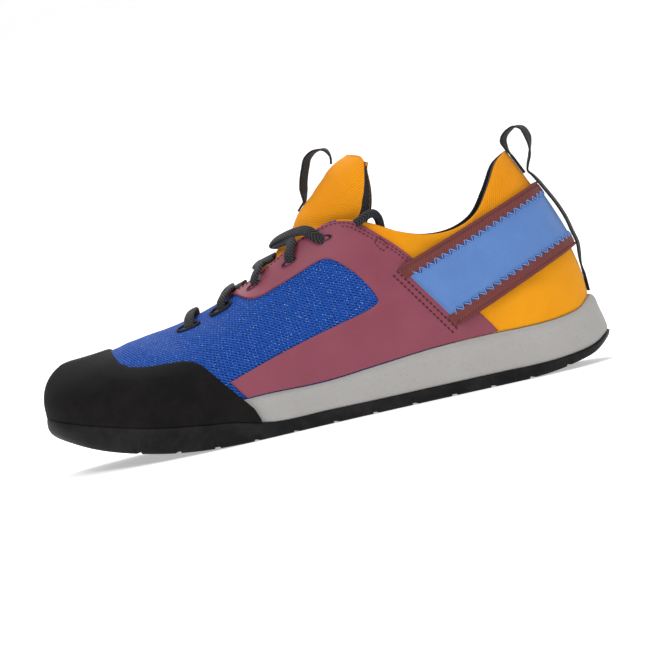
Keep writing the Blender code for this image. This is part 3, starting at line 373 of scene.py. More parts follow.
def ground(along):
    """Underside of the outsole: flat between the heel's bevel and the toe's spring."""
    return TOE_SPRING * sole_curve("spring", along) + HEEL_BEVEL * sole_curve("bevel", along)


def border(along):
    """Edge between outsole and midsole."""
    return ground(along) + TREAD * sole_curve("tread", along)


def seat(along):
    """Top of the midsole, where the upper stands."""
    return border(along) + FOAM * sole_curve("foam", along)


def outline(around, inset):
    """Edge of the sole from above, moved in by inset. around is minus the station on the outer
    side and the station on the inner side."""
    def edge(where):
        where = (np.asarray(where, float) + 1) % 2 - 1
        station = np.abs(where)
        outer, inner = (read(PLAN, PLAN_COLUMNS, name, station, False)
                        for name in ("outer", "inner"))
        out = HALF * np.where(where < 0, -outer, inner)
        return np.stack([x_of(along_of(station)), out], axis=-1)
    step = 1e-3
    ahead = edge(around + step) - edge(around - step)
    outward = unit(np.stack([ahead[..., 1], -ahead[..., 0]], axis=-1))
    return edge(around) - outward * np.asarray(inset)[..., None], outward


def rib_curve(name, station):
    """One column of the rib table."""
    return read(RIB, RIB_COLUMNS, name, station)


def crest(around):
    """Upper edge of the skin."""
    around = (np.asarray(around, float) + 1) % 2 - 1
    station = np.abs(around)
    rows = {name: read(CREST, CREST_COLUMNS, name, station, name != "gap")
            for name in CREST_COLUMNS[1:]}
    out = rows["mid"] + np.sign(around) * np.maximum(rows["gap"], 0.0)
    return np.stack([x_of(rows["along"]), HALF * out,
                     INSTEP_HEIGHT * rows["up"] + TAB_RISE * rows["tab"]], axis=-1)


def foot_inset(station):
    """How far the upper stands in from the sole's edge."""
    return rib_curve("inset", station) * 1e-3


def skin(around, height):
    """Point of the skin: a cubic rib from the foot (height 0) to the crest (height 1)."""
    around, height = np.broadcast_arrays(np.asarray(around, float), np.asarray(height, float))
    station = np.abs((around + 1) % 2 - 1)
    plan, outward = outline(around, foot_inset(station))
    foot = np.concatenate([plan, (seat(along_of(station)) + GAP)[..., None]], axis=-1)
    top = crest(around)
    span = foot - top
    rise = -span[..., 2]
    lift = rib_curve("belly", station) * rise
    swell = rib_curve("swell", station) * 1e-3
    low = foot + np.concatenate([outward * swell[..., None], lift[..., None]], axis=-1)
    reach = rib_curve("shoulder", station)
    high = top + np.stack([span[..., 0] * reach * rib_curve("rake", station),
                           span[..., 1] * reach,
                           -rise * rib_curve("hang", station)], axis=-1)
    t = height[..., None]
    return (foot * (1 - t) ** 3 + 3 * low * t * (1 - t) ** 2
            + 3 * high * t * t * (1 - t) + top * t ** 3)


def last(around, height, offset=0.0):
    """Point of the skin moved out along its normal by offset."""
    around, height = np.broadcast_arrays(np.asarray(around, float), np.asarray(height, float))
    step = 2e-3
    below = np.clip(height, step, 0.985)
    along = skin(around + step, below) - skin(around - step, below)
    up = skin(around, below + step) - skin(around, below - step)
    normal = unit(np.cross(along, up))
    return skin(around, height) + normal * np.asarray(offset, float)[..., None]


def rib_height_at(around, line):
    """Height at which the rib at each place first rises over line(x), 1 where it never does."""
    heights = np.linspace(0.0, 1.0, 161)
    points = skin(np.asarray(around, float)[..., None], heights)
    over = points[..., 2] - line(points[..., 0])
    crossed = over >= 0
    first = np.where(crossed.any(axis=-1), crossed.argmax(axis=-1), len(heights) - 1)
    before = np.maximum(first - 1, 0)
    low = np.take_along_axis(over, before[..., None], -1)[..., 0]
    high = np.take_along_axis(over, first[..., None], -1)[..., 0]
    share = np.where(high - low > 1e-9, np.clip(-low / np.maximum(high - low, 1e-9), 0, 1), 1.0)
    return np.where(crossed.any(axis=-1), heights[before] + (heights[first] - heights[before])
                    * share, 1.0)


# Where the search for a side view place starts
SEEK_STATIONS = np.linspace(0.05, 0.95, 91)
SEEK_HEIGHTS = np.linspace(0.0, 1.0, 61)


@functools.lru_cache
def side_table(side):
    """Side view places of a side's skin at even stations and heights."""
    return skin(side * SEEK_STATIONS[:, None], SEEK_HEIGHTS[None, :])[..., [0, 2]]


@functools.lru_cache
def eyelet_places(side):
    """Stations and heights of a side's eyelets, from the collar forward."""
    holes = EYELETS[::-1]
    return on_skin([row[0] for row in holes], [row[1] for row in holes], side)


def on_skin(along, up, side):
    """Station and height of the skin point that is seen from the side at (along, up)."""
    target = np.stack([x_of(np.asarray(along, float)),
                       INSTEP_HEIGHT * np.asarray(up, float)], axis=-1)
    stations, heights = SEEK_STATIONS, SEEK_HEIGHTS
    table = side_table(side)
    apart = np.linalg.norm(table[None] - target[:, None, None], axis=-1).reshape(len(target), -1)
    best = apart.argmin(axis=1)
    station, height = stations[best // len(heights)], heights[best % len(heights)]
    step = 1e-3
    for _ in range(6):
        here = skin(side * station, height)[:, [0, 2]]
        by_station = (skin(side * (station + step), height)[:, [0, 2]] - here) / step
        by_height = (skin(side * station, height + step)[:, [0, 2]] - here) / step
        miss = target - here
        det = by_station[:, 0] * by_height[:, 1] - by_station[:, 1] * by_height[:, 0]
        det = np.where(np.abs(det) < 1e-5, 1e-5, det)
        move_s = (miss[:, 0] * by_height[:, 1] - miss[:, 1] * by_height[:, 0]) / det
        move_h = (by_station[:, 0] * miss[:, 1] - by_station[:, 1] * miss[:, 0]) / det
        station = np.clip(station + np.clip(move_s, -0.02, 0.02), 0.05, 0.95)
        height = np.clip(height + np.clip(move_h, -0.05, 0.05), 0.0, 1.0)
    return station, height


def across(profile, stations):
    """Rings of a sole piece: profile(around) gives the rows of one side, outside in, from the
    lower middle to the upper middle. The other side closes the ring."""
    outer, inner = profile(-stations), profile(stations)
    for side in (0, -1):
        middle = (outer[side] + inner[side]) / 2
        outer[side], inner[side] = middle, middle
    return np.concatenate([outer, inner[:, ::-1]], axis=1)


def stack(around, rows):
    """Points of one side of a sole piece: rows of (inset, height) at each place."""
    station = np.abs(around)
    return np.stack([np.concatenate([outline(around, np.broadcast_to(inset, station.shape))[0],
                                     np.broadcast_to(height, station.shape)[..., None]], axis=-1)
                     for inset, height in rows], axis=1)


def side_frame(along, up, side):
    """Point, outward normal and direction of rising along the throat at a place on one side."""
    station, height = on_skin([along], [up], side)
    here = last(side * station, height)[0]
    normal = unit(last(side * station, height, 0.001)[0] - here)
    ahead = last(side * (station - 0.02), height)[0] - here
    ahead = unit(ahead - normal * np.dot(ahead, normal))
    return here, normal, ahead


def cap_edge(x):
    """Height of the toe cap's top edge at a place along the shoe."""
    line_x = x_of(column(CAP_LINE, CAP_LINE_COLUMNS, "along"))
    line_z = INSTEP_HEIGHT * column(CAP_LINE, CAP_LINE_COLUMNS, "up")
    return np.interp(x, line_x, line_z, left=1.0, right=0.0)


def band_edges(share):
    """Side view line of the heel band at a share of its width: its end at the slit and at heel."""
    low, high = np.array(BAND[0]), np.array(BAND[1])
    row = low + (high - low) * share
    return row[:2], row[2:]


def tongue_rows():
    """Key points of the tongue's outer face: side edge, shoulder and middle of each cross row.
    Below the collar the edges follow the inside of the upper, above it they are free."""
    rows = []
    for station, along, up, edge_along, edge_up, edge_out in TONGUE:
        mid = HALF * float(read(CREST, CREST_COLUMNS, "mid", station if station else 0.45))
        centre = np.array([x_of(along), mid, INSTEP_HEIGHT * up])
        row = {0: centre}
        for side in (-1, 1):
            if station:
                deep = 0.0 if station < 0.75 else 0.0004
                edge = last(side * station, 0.80, -WALL - 0.0018)
                shoulder = last(side * station, 0.955, -WALL - 0.0011 - deep)
            else:
                edge = np.array([x_of(edge_along), mid + side * HALF * edge_out,
                                 INSTEP_HEIGHT * edge_up])
                low, high = 1 - math.cos(SHOULDER_TURN), math.sin(SHOULDER_TURN)
                ahead = high if len(rows) == len(TONGUE) - 1 else low
                shoulder = centre + (edge - centre) * np.array([ahead, high, low])
            row[side], row[2 * side] = shoulder, edge
        rows.append([row[-2], row[-1], row[0], row[1], row[2]])
    return np.array(rows)


def tongue_face(rows_count, columns_count):
    """The tongue's outer face as a smooth grid through its key points."""
    keys = tongue_rows()
    tracks = np.stack([through(keys[:, i], rows_count) for i in range(5)], axis=1)
    knots = np.array([-1.0, -0.55, 0.0, 0.55, 1.0])
    reads = np.linspace(-1, 1, columns_count)
    return np.stack([smooth(reads, knots, row, False) for row in tracks])


def bridge(station, share, lift):
    """Point of the arch that the laces lie on: share -1 is over the outer eyelets, 0 over the
    tongue's middle and 1 over the inner eyelets. Lift raises it off what it lies on."""
    rest = LACE_THICK / 2 + 2 * GAP + lift
    rows = TONGUE[7::-1]
    knots = [row[0] if row[0] else 0.44 for row in rows]
    centre = np.array([(x_of(row[1]), 0.0, INSTEP_HEIGHT * row[2]) for row in rows])
    middle = smooth(station, knots, centre, False)
    ahead = smooth(station + 0.01, knots, centre, False) - smooth(station - 0.01, knots, centre, False)
    upward = unit(np.cross(ahead, np.array([0.0, 1.0, 0.0])))
    points = {0: middle + upward * (rest + GAP) * np.sign(upward[2])}
    for side in (-1, 1):
        stations, heights = eyelet_places(side)
        height = np.interp(station, stations, heights)
        points[2 * side] = last(side * station, height, rest + RING_BEAD)
        points[side] = last(side * station, 0.985, rest + OVERLAY)
    points[0][1] = (points[1][1] + points[-1][1]) / 2
    return smooth(share, [-1.0, -THROAT_EDGE, 0.0, THROAT_EDGE, 1.0],
                  np.array([points[key] for key in (-2, -1, 0, 1, 2)]), False)


# Stations and heights of the fine surfaces
FINE = np.linspace(0.0, 1.0, 121)
FINE_RUNGS = np.linspace(0.0, 1.0, 49)

# Border between mesh in front and knit behind, hidden under the overlay's rear arm
KNIT_BORDER = ((0.0, 0.075), (0.025, 0.068), (0.040, 0.060), (0.050, 0.052), (0.060, 0.046),
               (0.070, 0.040), (0.080, 0.032), (0.090, 0.025), (0.100, 0.018), (0.120, 0.010))

NOTCH_SHARE = 0.3         # depth of the tread's notches in the sole's side

# Stitches: length, pitch and thread width
EDGE_STITCH = (0.0016, 0.0023, 0.0006)
THROAT_STITCH = (0.0009, 0.0030, 0.0005)
STRAP_STITCH = (0.0019, 0.0025, 0.0010)
BOX_STITCH = (0.0016, 0.0022, 0.0007)
ZIGZAG_STEP = 0.0022
STRAP_SEAMS = (0.0022, 0.0050)          # how far in front of the slit the two strap seams run

# Beads of the slots in the eyestay: thickness, and how much longer and wider than the slot
SLOT_BEAD, SLOT_ROOM = 0.0006, 0.0016

# Fineness: steps between two rows of the overlay's lines, places round a bead and round its
# section, places along the webbing of heel and tongue, rows and columns of the tongue, places
# along the free lace end and its tip
OVERLAY_STEPS = 6
BEAD_PLACES, BEAD_SIDES = 40, 10
TAPE_PLACES, LOOP_PLACES = 150, 110
TONGUE_ROWS, TONGUE_COLUMNS = 81, 49
BOUND_FROM = 44           # first row of the tongue with a binding on its edge
LACE_END_PLACES, TIP_PLACES = 40, 8

# The knit's smoother part at the heel: its top and its front
TWILL_TOP, TWILL_FRONT = 0.082, 0.05

# Threads, slot rims, the painted shadow of the strap's zigzag stitches and the painted shade inside the
# holes
THREADS = {
    "maroon_thread": (0.085, 0.014, 0.020),
    "coral_thread": (0.70, 0.10, 0.07),
    "pale_thread": (0.14, 0.28, 0.62),
    "painted_zigzag_shadow": (0.010, 0.030, 0.16),
    "slot_rim": (0.13, 0.035, 0.06),
    "painted_hole_shade": (0.004, 0.004, 0.005),
}

# Soft creases of the upper: both ends seen from the side, width and depth (millimetres)
CREASES = (
    (-84, 62, -62, 50, 3.2, -0.55),
    (-74, 63, -52, 56, 3.0, 0.40),
    (-96, 58, -78, 49, 3.5, 0.45),
    (-20, 52, 10, 58, 5.0, -0.35),
    (-10, 62, 22, 68, 4.0, 0.35),
    (46, 84, 66, 74, 3.0, -0.50),
    (60, 80, 86, 78, 2.6, 0.45),
    (92, 84, 112, 101, 3.0, -0.40),
    (88, 48, 118, 50, 4.0, -0.45),
    (84, 40, 124, 42, 4.0, 0.35),
)
TONGUE_CREASES = (
    (-2, 99, 14, 96, 2.2, -0.60),
    (4, 104, 26, 99, 2.4, 0.50),
    (12, 112, 34, 106, 3.0, -0.50),
    (22, 122, 36, 114, 2.6, 0.35),
)


# Lamps: name, place, size and power; the light of the room; the camera's sensor in millimetres
LAMPS = (
    ("key_light", (-0.5, -1.1, 1.35), 1.0, 13),
    ("fill_light", (0.9, -1.2, 0.6), 1.0, 3.5),
    ("top_light", (0.1, 0.4, 1.5), 1.0, 11),
    ("back_light", (0.0, 2.0, 2.0), 2.5, 30),
)
ROOM_LIGHT = 0.42
SENSOR = 36.0


# Finishes
def add(tree, kind, values=None, **settings):
    """A shader node with its settings, and values or sockets for its inputs."""
    made = tree.nodes.new("ShaderNode" + kind)
    for key, value in settings.items():
        setattr(made, key, value)
    for key, value in (values or {}).items():
        if isinstance(value, bpy.types.NodeSocket):
            tree.links.new(value, made.inputs[key])
        else:
            made.inputs[key].default_value = value
    return made


def calc(tree, operation, first, second=0.0, third=0.0):
    """One step of arithmetic between sockets or numbers."""
    return add(tree, "Math", {0: first, 1: second, 2: third}, operation=operation).outputs[0]


def mixed(tree, share, first, second):
    """Colour between two colours by a share."""
    values = {0: share, 6: first, 7: second}
    return add(tree, "Mix", values, data_type="RGBA").outputs[2]


def shade(red, green, blue):
    """A colour from its three parts."""
    return (red, green, blue, 1.0)


def start_finish(name, colour, roughness, sheen=0.0, coat=0.0):
    """A finish with its tree and shader, and the millimetres along and across its weave."""
    made = bpy.data.materials.new(name)
    made.use_nodes = True
    tree = made.node_tree
    shader = tree.nodes["Principled BSDF"]
    shader.inputs["Base Color"].default_value = colour
    shader.inputs["Roughness"].default_value = roughness
    shader.inputs["Sheen Weight"].default_value = sheen
    shader.inputs["Sheen Roughness"].default_value = 0.4
    shader.inputs["Specular IOR Level"].default_value = 0.2
    shader.inputs["Coat Weight"].default_value = coat
    shader.inputs["Coat Roughness"].default_value = 0.35
    place = add(tree, "Attribute", attribute_name="cloth")
    parts = add(tree, "SeparateXYZ", {0: place.outputs["Vector"]})
    return made, tree, shader, parts.outputs[0], parts.outputs[1]


def noise(tree, scale, detail=3.0, where=None, rough=0.55):
    """Cloudy noise in object metres, or along other coordinates."""
    where = where or add(tree, "TexCoord").outputs["Object"]
    return add(tree, "TexNoise", {"Vector": where, "Scale": scale, "Detail": detail,
                                  "Roughness": rough}).outputs["Fac"]


def relief(tree, shader, height, depth, strength):
    """Bump from a height between 0 and 1 that is depth metres deep."""
    bump = add(tree, "Bump", {"Strength": strength, "Distance": depth, "Height": height})
    tree.links.new(bump.outputs[0], shader.inputs["Normal"])


def cover(made, tree, shader, colour, height, depth, strength):
    """Give a finish its colour pattern and its relief."""
    tree.links.new(colour, shader.inputs["Base Color"])
    relief(tree, shader, height, depth, strength)
    return made


def clamped(tree, value):
    """A value kept between 0 and 1."""
    return add(tree, "Clamp", {0: value}).outputs[0]


def wave(tree, along, pitch):
    """Ribs: 0 to 1 and back along a coordinate in millimetres."""
    turn = calc(tree, "MULTIPLY_ADD", along, 2 * math.pi / pitch)
    return calc(tree, "MULTIPLY_ADD", calc(tree, "SINE", turn), 0.5, 0.5)


def slanted(tree, u, v, degrees):
    """Coordinate across lines that lean by an angle."""
    turn = math.radians(degrees)
    return calc(tree, "MULTIPLY_ADD", u, math.cos(turn), calc(tree, "MULTIPLY", v, math.sin(turn)))


def knit_finish(name, light, dark, lean, pitch, depth=0.00022):
    """Ribbed knit: diagonal ribs with small courses, with painted shade that darkens it between the
    ribs.
    """
    made, tree, shader, u, v = start_finish(name, light, 0.85, sheen=0.05)
    rib = wave(tree, slanted(tree, u, v, lean), pitch)
    course = wave(tree, slanted(tree, u, v, lean + 90), pitch * 0.7)
    height = calc(tree, "MULTIPLY_ADD", course, 0.35, rib)
    blotch = noise(tree, 55.0)
    # painted shade: the colour moves towards the dark copy in the hollows between the raised ribs, mixed
    # with random blotches
    share = calc(tree, "MULTIPLY_ADD", blotch, 0.5, calc(tree, "MULTIPLY", rib, -0.45))
    share = clamped(tree, calc(tree, "ADD", share, 0.20))
    return cover(made, tree, shader, mixed(tree, share, light, dark), height, depth, 0.8)


def mesh_finish():
    """Blue mesh: slanting rows of dark cells between lighter threads, with pale specks."""
    made, tree, shader, u, v = start_finish("blue_mesh", shade(0.02, 0.09, 0.42), 0.7)
    shader.inputs["Specular IOR Level"].default_value = 0.1
    across = slanted(tree, u, v, 118)
    along = slanted(tree, u, v, 28)
    where = add(tree, "CombineXYZ", {0: along, 1: across}).outputs[0]
    cells = add(tree, "TexBrick", {
        "Vector": where, "Color1": shade(0.005, 0.018, 0.10), "Color2": shade(0.010, 0.042, 0.21),
        "Mortar": shade(0.010, 0.085, 0.43), "Scale": 1.0, "Mortar Size": 0.30,
        "Mortar Smooth": 0.35, "Brick Width": 2.3, "Row Height": 1.2})
    speck = noise(tree, 1.4, 1.0, where)
    speck = clamped(tree, calc(tree, "MULTIPLY_ADD", speck, 9.0, -5.6))
    on_thread = calc(tree, "MULTIPLY", speck, cells.outputs["Fac"])
    colour = mixed(tree, on_thread, cells.outputs["Color"], shade(0.32, 0.45, 0.80))
    height = calc(tree, "MULTIPLY_ADD", wave(tree, along, 0.55), 0.2, cells.outputs["Fac"])
    return cover(made, tree, shader, colour, height, 0.00035, 0.9)


def film_finish():
    """Burgundy film: satin, with fine grain, soft blotches and rubbed lighter places."""
    made, tree, shader, _, _ = start_finish("burgundy_film", shade(0.22, 0.05, 0.08), 0.5,
                                            coat=0.05)
    blotch = noise(tree, 38.0, 4.0)
    grain = noise(tree, 1500.0, 2.0)
    share = calc(tree, "MULTIPLY_ADD", grain, 0.35, calc(tree, "MULTIPLY", blotch, 0.65))
    colour = mixed(tree, share, shade(0.165, 0.034, 0.056), shade(0.275, 0.068, 0.100))
    tree.links.new(calc(tree, "MULTIPLY_ADD", blotch, 0.22, 0.36), shader.inputs["Roughness"])
    return cover(made, tree, shader, colour, grain, 0.00005, 0.7)


def rubber_finish(name, colour, worn, roughness, grain_depth):
    """Rubber: fine grain, dust in its blotches and a duller sheen where it is rubbed."""
    made, tree, shader, _, _ = start_finish(name, colour, roughness)
    shader.inputs["Specular IOR Level"].default_value = 0.08
    dust = noise(tree, 70.0, 5.0, rough=0.7)
    dust = clamped(tree, calc(tree, "MULTIPLY_ADD", dust, 2.6, -1.05))
    tree.links.new(calc(tree, "MULTIPLY_ADD", dust, 0.18, roughness), shader.inputs["Roughness"])
    height = calc(tree, "MULTIPLY_ADD", dust, 0.4, noise(tree, 2200.0, 2.0))
    return cover(made, tree, shader, mixed(tree, dust, colour, worn), height, grain_depth, 0.8)


def foam_finish():
    """Grey foam: pale with dark and light specks, and a skin of tiny dimples."""
    made, tree, shader, _, _ = start_finish("grey_foam", shade(0.50, 0.49, 0.47), 0.78)
    speck = noise(tree, 1300.0, 2.0, rough=0.8)
    dark = clamped(tree, calc(tree, "MULTIPLY_ADD", speck, 9.0, -5.2))
    base = mixed(tree, noise(tree, 45.0), shade(0.325, 0.315, 0.307), shade(0.390, 0.380, 0.367))
    colour = mixed(tree, calc(tree, "MULTIPLY", dark, 0.45), base, shade(0.20, 0.19, 0.19))
    return cover(made, tree, shader, colour, speck, 0.00012, 0.7)


def woven_finish(name, light, dark, pitch):
    """Woven tape: a herringbone that turns back along the tape's middle, with painted highlight on its
    raised ribs and painted shade in its hollows.
    """
    made, tree, shader, u, v = start_finish(name, light, 0.8, 0.04)
    fold = calc(tree, "PINGPONG", calc(tree, "ADD", v, 100.0), 2.4)
    slant = calc(tree, "ADD", u, calc(tree, "MULTIPLY", fold, 0.9))
    rib = wave(tree, slant, pitch)
    cross = wave(tree, v, pitch * 0.62)
    height = calc(tree, "MULTIPLY_ADD", cross, 0.3, rib)
    # painted highlight and shade: the colour runs from the dark copy in the hollows to the light copy on
    # the raised ribs
    return cover(made, tree, shader, mixed(tree, rib, dark, light), height, 0.00018, 0.9)


def elastic_finish():
    """Blue elastic: fine cross ribs with a satin sheen, painted lighter on the raised ribs, with random
    blotches.
    """
    made, tree, shader, u, v = start_finish("blue_elastic", shade(0.10, 0.21, 0.50), 0.5, 0.08)
    rib = wave(tree, u, 0.62)
    line = wave(tree, v, 0.9)
    height = calc(tree, "MULTIPLY_ADD", line, 0.35, rib)
    blotch = noise(tree, 60.0)
    # half painted highlight on the raised ribs, half random blotches
    share = calc(tree, "MULTIPLY_ADD", blotch, 0.5, calc(tree, "MULTIPLY", rib, 0.5))
    colour = mixed(tree, share, shade(0.062, 0.142, 0.375), shade(0.135, 0.275, 0.60))
    return cover(made, tree, shader, colour, height, 0.00014, 0.8)


def lace_finish():
    """Lace braid: charcoal with pale grey herringbone ribs that meet along its middle."""
    made, tree, shader, u, v = start_finish("lace_braid", shade(0.05, 0.05, 0.055), 0.7, 0.04)
    fold = calc(tree, "ABSOLUTE", v)
    rib = wave(tree, calc(tree, "MULTIPLY_ADD", fold, 0.85, u), 1.5)
    thread = wave(tree, calc(tree, "MULTIPLY_ADD", fold, -1.3, u), 0.55)
    pale = calc(tree, "POWER", rib, 3.0)
    colour = mixed(tree, pale, shade(0.008, 0.008, 0.011), shade(0.062, 0.062, 0.070))
    height = calc(tree, "MULTIPLY_ADD", thread, 0.4, rib)
    return cover(made, tree, shader, colour, height, 0.00030, 0.9)


def thread_finish(name, colour):
    """Sewing thread."""
    made, tree, shader, _, _ = start_finish(name, colour, 0.6, 0.05)
    relief(tree, shader, noise(tree, 2600.0, 1.0), 0.00008, 0.6)
    return made


def finishes():
    """Every finish by name."""
    return {
        "rubber": rubber_finish("black_rubber", shade(0.008, 0.008, 0.009),
                                shade(0.024, 0.023, 0.022), 0.48, 0.00006),
        "cap_rubber": rubber_finish("cap_rubber", shade(0.0055, 0.0048, 0.0050),
                                    shade(0.0130, 0.0115, 0.0110), 0.70, 0.00008),
        "foam": foam_finish(),
        # knit, twill and lining: the second colour is painted shade for the hollows between the ribs
        "knit": knit_finish("yellow_knit", shade(0.79, 0.300, 0.004), shade(0.54, 0.150, 0.002),
                            38, 0.95, 0.00014),
        "twill": knit_finish("yellow_twill", shade(0.80, 0.325, 0.005), shade(0.52, 0.165, 0.002),
                             -32, 0.80, 0.00013),
        "mesh": mesh_finish(),
        "film": film_finish(),
        "elastic": elastic_finish(),
        # binding and webbing: the second colour is painted shade for the hollows of the weave
        "binding": woven_finish("maroon_binding", shade(0.215, 0.060, 0.055),
                                shade(0.100, 0.026, 0.025), 0.95),
        "webbing": woven_finish("black_webbing", shade(0.028, 0.028, 0.030),
                                shade(0.006, 0.006, 0.007), 1.1),
        "lining": knit_finish("black_lining", shade(0.020, 0.020, 0.022),
                              shade(0.006, 0.006, 0.007), 60, 1.0),
        "lace": lace_finish(),
        **{name: thread_finish(name, shade(*colour)) for name, colour in THREADS.items()},
        "aglet": rubber_finish("lace_tip", shade(0.02, 0.02, 0.02), shade(0.04, 0.04, 0.04), 0.3,
                               0.00002),
    }


# Building pieces
def spans(grid):
    """Millimetres along the rows and up the columns of a grid, for the weave."""
    u = np.zeros(grid.shape[:2])
    v = np.zeros(grid.shape[:2])
    middle = grid.shape[1] // 2
    u[:] = reach_of(grid[:, middle])[:, None]
    v[:, 1:] = np.cumsum(np.linalg.norm(np.diff(grid, axis=1), axis=2), axis=1)
    return np.stack([u, v, np.zeros_like(u)], axis=-1) * 1e3


def make(name, points, faces, cloth, materials, chosen=None):
    """An object from points, quads or triangles, weave coordinates and materials."""
    mesh = bpy.data.meshes.new(name)
    mesh.from_pydata(np.asarray(points, float).tolist(), [], np.asarray(faces, int).tolist())
    kept = mesh.attributes.new("cloth", "FLOAT_VECTOR", "POINT")
    kept.data.foreach_set("vector", np.asarray(cloth, np.float32).ravel())
    for one in materials:
        mesh.materials.append(one)
    if chosen is not None:
        mesh.polygons.foreach_set("material_index", np.asarray(chosen, np.int32))
    mesh.shade_smooth()
    made = bpy.data.objects.new(name, mesh)
    bpy.context.scene.collection.objects.link(made)
    return made


def worn_by(piece, slot, *nodes):
    """The piece rides on the shoe and stands for its solids; its slot is not used."""
    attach(piece, "root")
    if nodes:
        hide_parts(*nodes)
    return piece


def quads(rows, columns, start=0, around=False):
    """Quads of a grid as an array."""
    i = np.arange(rows if around else rows - 1)[:, None]
    j = np.arange(columns - 1)[None, :]
    a = start + i * columns + j
    b = start + (i + 1) % rows * columns + j
    return np.stack([a, b, b + 1, a + 1], axis=-1).reshape(-1, 4)


def ring_quads(rows, sides, around=False):
    """Quads between rows of closed rings, the last row joined to the first or not."""
    i, j = np.arange(rows if around else rows - 1)[:, None], np.arange(sides)[None, :]
    after, beside = (i + 1) % rows * sides, (j + 1) % sides
    return np.stack([i * sides + j, after + j, after + beside, i * sides + beside],
                    axis=-1).reshape(-1, 4)


def eased(share):
    """A share kept between 0 and 1 that starts and stops softly: t^2 (3 - 2 t)."""
    share = np.clip(share, 0, 1)
    return share * share * (3 - 2 * share)


def circle(count):
    """Even turns round a circle."""
    return np.linspace(0, 2 * np.pi, count, endpoint=False)


def plate(name, low, high, materials, under=0):
    """A closed plate between two grids: the high grid shows, the low one takes material under."""
    rows, columns = high.shape[:2]
    count = rows * columns
    i, j = np.arange(rows), np.arange(columns)
    edge = np.concatenate([i * columns, (rows - 1) * columns + j[1:],
                           (i * columns + columns - 1)[-2::-1], j[-2:0:-1]])
    after = np.roll(edge, -1)
    walls = np.stack([edge, after, after + count, edge + count], axis=-1)
    faces = np.concatenate([quads(rows, columns)[:, ::-1], quads(rows, columns, count), walls[:, ::-1]])
    cloth = spans(high).reshape(-1, 3)
    chosen = np.zeros(len(faces), int)
    chosen[:(rows - 1) * (columns - 1)] = under
    return make(name, np.concatenate([low.reshape(-1, 3), high.reshape(-1, 3)]), faces,
                np.concatenate([cloth, cloth]), materials, chosen)


def creased(grid, creases):
    """Offset in metres: soft troughs and ridges along lines of the side view, each fading
    across as exp(-d^2 / w^2), where d is the distance to the line and w its width."""
    x, z = grid[..., 0] * 1e3, grid[..., 2] * 1e3
    total = np.zeros(x.shape)
    for x1, z1, x2, z2, width, depth in creases:
        run = np.array([x2 - x1, z2 - z1], float)
        share = ((x - x1) * run[0] + (z - z1) * run[1]) / (run @ run)
        share = np.clip(share, 0, 1)
        apart = np.hypot(x - x1 - share * run[0], z - z1 - share * run[1])
        total += depth * np.exp(-(apart / width) ** 2)
    return total * 1e-3


def threads(name, starts, ends, normals, width, finish, slot, lift=0.0):
    """Stitches as small capsules from starts to ends, lying on the surface."""
    starts, ends = np.asarray(starts), np.asarray(ends)
    middle = (starts + ends) / 2 + normals * lift
    ahead = unit(ends - starts)
    half = np.linalg.norm(ends - starts, axis=-1)[:, None, None, None] / 2
    side = unit(np.cross(ahead, normals))
    up = np.cross(side, ahead)
    reach = np.array([-1.0, -0.75, 0.0, 0.75, 1.0])
    girth = np.array([0.12, 0.75, 1.0, 0.75, 0.12]) * width / 2
    sink = np.array([-0.5, 0.1, 0.35, 0.1, -0.5]) * width / 2
    turn = circle(6)
    shape = (middle[:, None, None] + ahead[:, None, None] * half * reach[None, :, None, None]
             + up[:, None, None] * sink[None, :, None, None]
             + side[:, None, None] * (girth[:, None] * np.cos(turn))[None, :, :, None]
             + up[:, None, None] * (girth[:, None] * np.sin(turn))[None, :, :, None])
    count, rings, sides = shape.shape[:3]
    one = ring_quads(rings, sides)
    faces = (np.arange(count)[:, None, None] * rings * sides + one[None]).reshape(-1, 4)
    points = shape.reshape(-1, 3)
    piece = make(name, points, faces, points * 1e3, [finish])
    return worn_by(piece, slot)


def picked(where, reach, values):
    """Points or normals of a path at given lengths along it."""
    return np.stack([np.interp(where, reach, values[:, k]) for k in range(3)], axis=-1)


def seam(name, path, normals, stitch, finish, slot):
    """A row of stitches along a path."""
    length, pitch, width = stitch
    reach = reach_of(path)
    at = np.arange(pitch / 2, reach[-1] - pitch / 2, pitch)
    return threads(name, picked(at - length / 2, reach, path), picked(at + length / 2, reach, path),
                   unit(picked(at, reach, normals)), width, finish, slot)


def tube(points, ups, width, thick, sides=14, square=2.6):
    """Grid round a strand: its cross section is a flat oval |x/a|^n + |y/b|^n = 1."""
    ahead = unit(np.gradient(points, axis=0))
    side = unit(np.cross(ahead, ups))
    up = np.cross(side, ahead)
    cos, sin = np.cos(circle(sides)), np.sin(circle(sides))
    a = np.sign(cos) * np.abs(cos) ** (2 / square) * width / 2
    b = np.sign(sin) * np.abs(sin) ** (2 / square) * thick / 2
    ring = (points[:, None] + side[:, None] * a[None, :, None] + up[:, None] * b[None, :, None])
    reach = reach_of(points)
    cloth = np.stack(np.broadcast_arrays(reach[:, None] * 1e3, a[None, :] * 1e3,
                                         b[None, :] * 1e3), axis=-1)
    return ring, cloth


def tubes(name, parts, finish, slot, nodes=()):
    """One piece of several strands, each a grid closed round, with closed ends."""
    points, faces, cloth, start = [], [], [], 0
    for ring, woven in parts:
        rows, sides = ring.shape[:2]
        body = ring_quads(rows, sides)
        half = np.arange(1, sides // 2)
        lid = np.stack([half - 1, half, sides - half - 1, (sides - half) % sides], axis=-1)
        faces += [body + start, lid + start, lid[:, ::-1] + start + (rows - 1) * sides]
        points.append(ring.reshape(-1, 3))
        cloth.append(woven.reshape(-1, 3))
        start += rows * sides
    piece = make(name, np.concatenate(points), np.concatenate(faces), np.concatenate(cloth),
                 [finish])
    return worn_by(piece, slot, *nodes)


